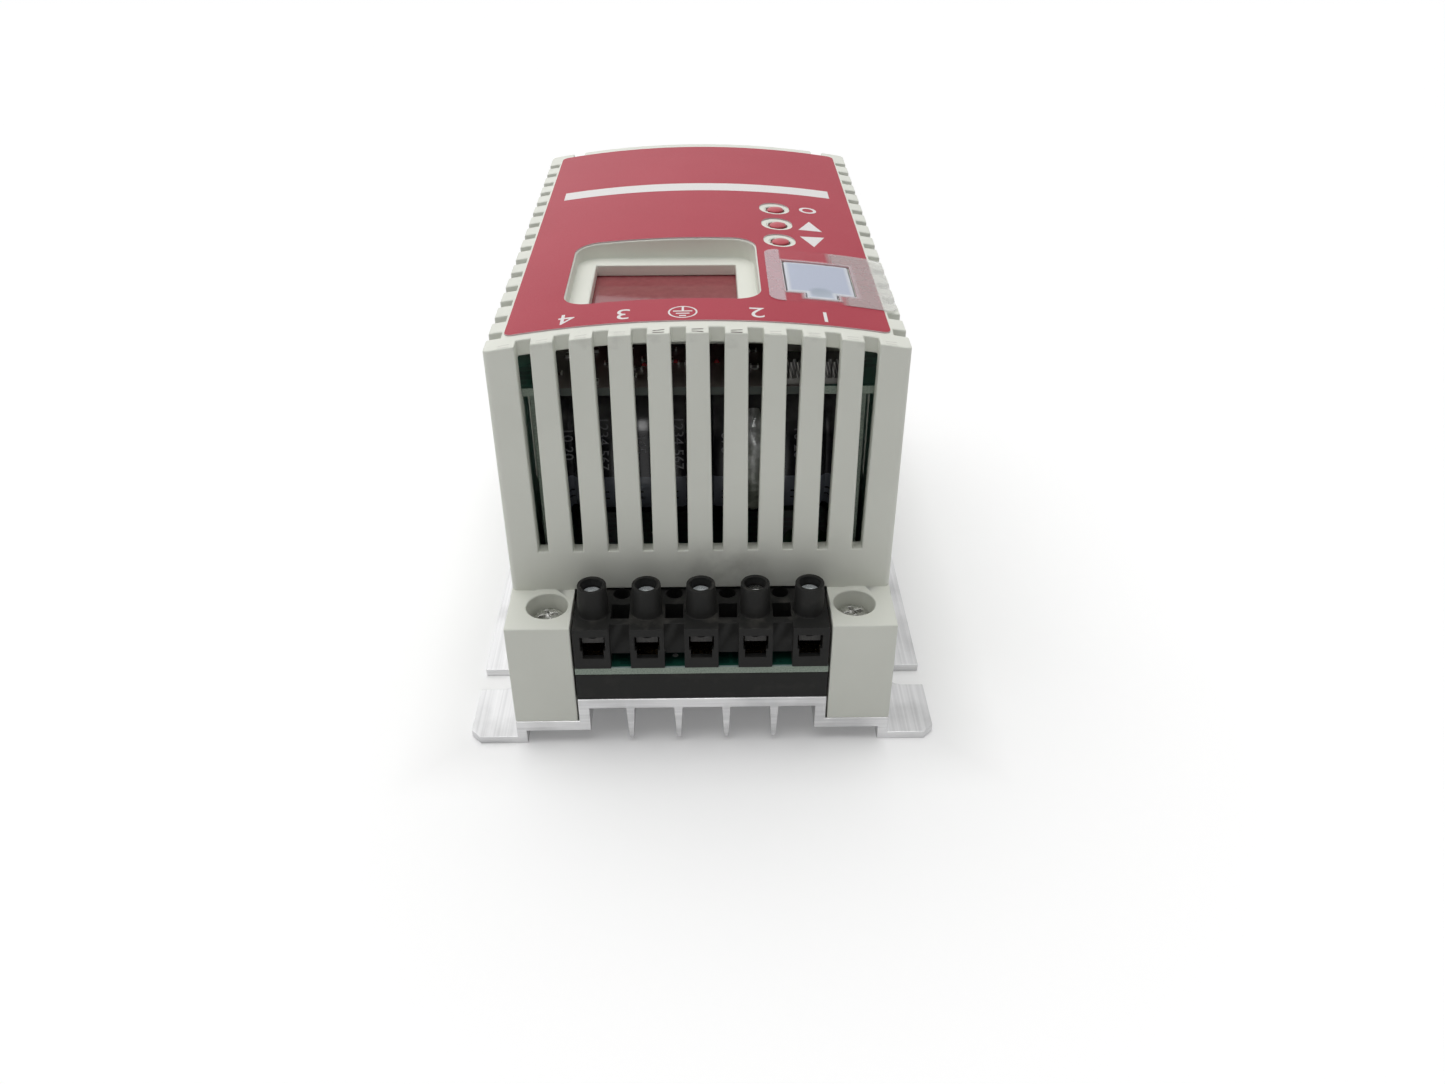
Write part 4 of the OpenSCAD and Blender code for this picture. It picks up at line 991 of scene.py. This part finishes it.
def printed_mark(name, form):
    """Prints a flat form in mm on the label, cut in strips so that it follows the roof."""
    strip_w = 3.2
    for i in range(-10, 11):
        sliced(form, i * strip_w, 1e-4)
    inked(name, form, on_label, white_ink, "label_red")


def outlined(outlines):
    """A flat form with a face for each outline in mm."""
    form = bmesh.new()
    for outline in outlines:
        form.faces.new([form.verts.new((x, y, 0)) for x, y in outline])
    return form


def ring(x, y, radius, width, steps=40):
    """A printed ring, as short pieces of band."""
    spokes = [(math.cos(math.tau * i / steps), math.sin(math.tau * i / steps)) for i in range(steps + 1)]
    inner = radius - width
    return [[(x + a * inner, y + b * inner), (x + a * radius, y + b * radius), (x + c * radius, y + d * radius),
             (x + c * inner, y + d * inner)] for (a, b), (c, d) in zip(spokes, spokes[1:])]


def printed_bar(left, front, right, rear):
    """A printed bar."""
    return [(left, front), (right, front), (right, rear), (left, rear)]


printed_mark("label_bar", outlined([printed_bar(-30.3, 17.2, 29.8, 22.4)]))
arrows = [[(21.05, -6.7), (26.0, -6.6), (23.7, -0.9)], [(21.1, -10.85), (23.55, -16.4), (26.15, -10.1)]]
printed_mark("label_arrows", outlined(arrows))
printed_mark("label_mode_mark", outlined(ring(24.0, 6.6, 1.9, 0.7)))
earth_lines = [printed_bar(-4.3, -52.0, -0.9, -51.6), printed_bar(-3.8, -53.0, -1.4, -52.6),
               printed_bar(-3.2, -54.0, -2.0, -53.6), printed_bar(-2.8, -51.6, -2.4, -49.9)]
printed_mark("label_earth_mark", outlined(ring(-2.6, -52.2, 2.6, 0.32) + earth_lines))
for number, x in enumerate((22.6, 10.5, -13.1, -23.2), 1):
    form = numerals(str(number), number_size)
    placed = Matrix.Translation((x, number_y, 0)) @ Matrix.Rotation(math.pi, 4, "Z")
    bmesh.ops.transform(form, matrix=placed, verts=form.verts)
    printed_mark("label_number_%d" % number, form)


# Module film: a clear sticky film over the module bay, milky along its left strip and on its bare right part.
# It is cut from sheet with rounded corners and an opening that lets the module out.

module_x, module_y, module_w, module_l = 22.9, -33.7, 12.6, 15.0
tab_y, tab_w, tab_l = -40.85, 5.6, 5.7


def from_module(across, along):
    """How far a place on the roof is outside the outline of the module and its tab, less than 0 inside it."""
    outside = []
    to_side = apart(across, module_x * MM)
    for y, width, length in ((module_y, module_w, module_l), (tab_y, tab_w, tab_l)):
        to_end = apart(along, y * MM)
        beside = less(to_side, width / 2 * MM)
        beyond = less(to_end, length / 2 * MM)
        outside.append(calc("MAXIMUM", beside, beyond))
    return calc("MINIMUM", *outside)


clear_film, shader, where = surface("clear_film", Specular_IOR_Level=0.2)
across, along = axes(where)[:2]
left_strip = span(across, 0.0159, 0.0162, 1.0, 0.0)
behind = span(along, -0.0262, -0.0250)
before = span(along, -0.0426, -0.0406, 1.0, 0.0)
starts = less(0.0290, calc("ADD", times(behind, 0.0032), times(before, 0.0020)))
right_part = span(less(across, starts), -0.0008, 0.0008)
past_label = span(across, 0.0337, 0.0341)
module_rim = span(from_module(across, along), 0.0004, 0.0013, 1.0, 0.0)
mottled = grain(where, 300, detail=4)
milky = shade(left_strip, (0.64, 0.59, 0.585), (0.86, 0.80, 0.84))
milky = shade(module_rim, milky, (0.80, 0.78, 0.81))
milky = shade(past_label, milky, (0.88, 0.88, 0.86))
paint(shader, shade(span(mottled, 0.3, 0.75, 0.0, 0.2), milky, (0.62, 0.60, 0.59)))
haze = calc("ADD", times(left_strip, 0.30), times(right_part, span(past_label, 0.0, 1.0, 0.36, 0.30)))
haze = calc("MAXIMUM", haze, times(module_rim, 0.40))
plug(shader.inputs["Alpha"], calc("ADD", 0.015, haze))
polish(shader, mottled, 0.2, 0.34)
dress("module_film", 0.03, clear_film, "clear_film")


# Memory module: a small plug-in cassette of pale blue-grey plastic with a pull tab at its front.
# It is pushed in its socket from above, and a shallow thumb grip helps to draw it out.

grip_y = -40.7

module_plastic, shader, where = surface("module_plastic", Specular_IOR_Level=0.3)
satin = grain(where, 3200)
across, along = axes(where)[:2]
pale_rim = span(from_module(across, along), -0.0010, -0.0004, 0.0, 0.75)
to_side = less(across, module_x * MM)
to_front = less(along, grip_y * MM)
from_grip = calc("SQRT", calc("ADD", times(to_side, to_side), times(to_front, to_front)))
# Darker blue-grey round the thumb grip, a painted shade in its hollow.
grip_painted_shade = span(from_grip, 0.0016, 0.0026, 0.7, 0.0)
cool = mottle(satin, (0.41, 0.455, 0.56), (0.46, 0.50, 0.61))
cool = shade(grip_painted_shade, cool, (0.33, 0.385, 0.44))
paint(shader, shade(pale_rim, cool, (0.66, 0.68, 0.71)))
polish(shader, satin, 0.3, 0.42)
relief(shader, satin, 0.012)
dress("memory_module", 0.3, module_plastic, "module_plastic", body="memory_module")


# Camera: at the photograph's place, in front of the drive and above it.
# The drive lies on its back, so the camera looks down along it from the mains end.

lens = bpy.data.cameras.new("camera")
lens.sensor_fit = "HORIZONTAL"
lens.sensor_width = 36.0
lens.lens = 28.6317
lens.clip_start = 0.005
camera = held("camera", lens)
camera.location = Vector((1.2288, -242.0819, 162.7909)) * MM
camera.rotation_euler = [math.radians(turn) for turn in (55.88286, 0.05274, -0.97622)]
bpy.context.scene.camera = camera


# Studio: a pale floor, one large soft light from above and a white surround.
# The floor keeps the shadow, and reflections see a plain white that fades a little to the right,
# with a narrow light box high in front that puts a glint on the capacitors.

bpy.context.scene.view_settings.view_transform = "Standard"
foot_x, foot_y, floor_z = 0.047, 0.073, -0.00003


def seen(tree):
    """1 where the ray comes from the camera, a reflection or a clear piece, which see the plain white."""
    path = put(tree, "ShaderNodeLightPath").outputs
    kinds = calc("MAXIMUM", path["Is Camera Ray"], path["Is Glossy Ray"])
    return calc("MAXIMUM", kinds, path["Is Transmission Ray"])


surround = bpy.data.worlds.new("surround")
surround.use_nodes = True
tree = surround.node_tree
back = tree.nodes["Background"]
back.inputs["Color"].default_value = (1, 1, 1, 1)
to_right, to_rear, upward = axes(put(tree, "ShaderNodeTexCoord").outputs["Generated"])
light_box = times(span(upward, 0.60, 0.66), span(upward, 0.76, 0.82, 1.0, 0.0), calc("LESS_THAN", to_rear, -0.3),
                  span(calc("ABSOLUTE", to_right), 0.08, 0.11, 1.0, 0.0))
mirrored = calc("ADD", span(to_right, -0.25, 0.25, 1.4, 0.74), times(light_box, 7.0))
in_view = put(tree, "ShaderNodeLightPath").outputs["Is Camera Ray"]
plain_white = span(in_view, 0.0, 1.0, mirrored, 1.0)
plug(back.inputs["Strength"], span(seen(tree), 0.0, 1.0, 0.25, plain_white))
bpy.context.scene.world = surround

sun = bpy.data.lights.new("soft_light", "SUN")
sun.energy = 2.26
sun.angle = math.radians(75)
sun_stand = held("soft_light", sun)
sun_stand.visible_glossy = False
sun_stand.rotation_euler = (math.radians(-12), math.radians(-8), 0)

form = bmesh.new()
bmesh.ops.create_grid(form, x_segments=8, y_segments=8, size=6.0)
bmesh.ops.translate(form, verts=form.verts, vec=(0, 0, floor_z))
floor = stand("floor", form)
floor_paper, shader, where = surface("floor_paper", Base_Color=(0.82, 0.82, 0.82, 1), Roughness=1.0,
                                     Specular_IOR_Level=0.0, Emission_Color=(1, 1, 1, 1))
across, along = axes(where)[:2]
# The camera-seen glow is weaker under the drive and close round it, a painted shadow beneath it.
beside = less(calc("ABSOLUTE", across), foot_x)
beyond = less(calc("ABSOLUTE", along), foot_y)
glow_with_painted_shadow = span(calc("MAXIMUM", beside, beyond), -0.002, 0.014, 0.12, 0.228)
plug(shader.inputs["Emission Strength"], times(seen(where.id_data), glow_with_painted_shadow))
floor.data.materials.append(floor_paper)
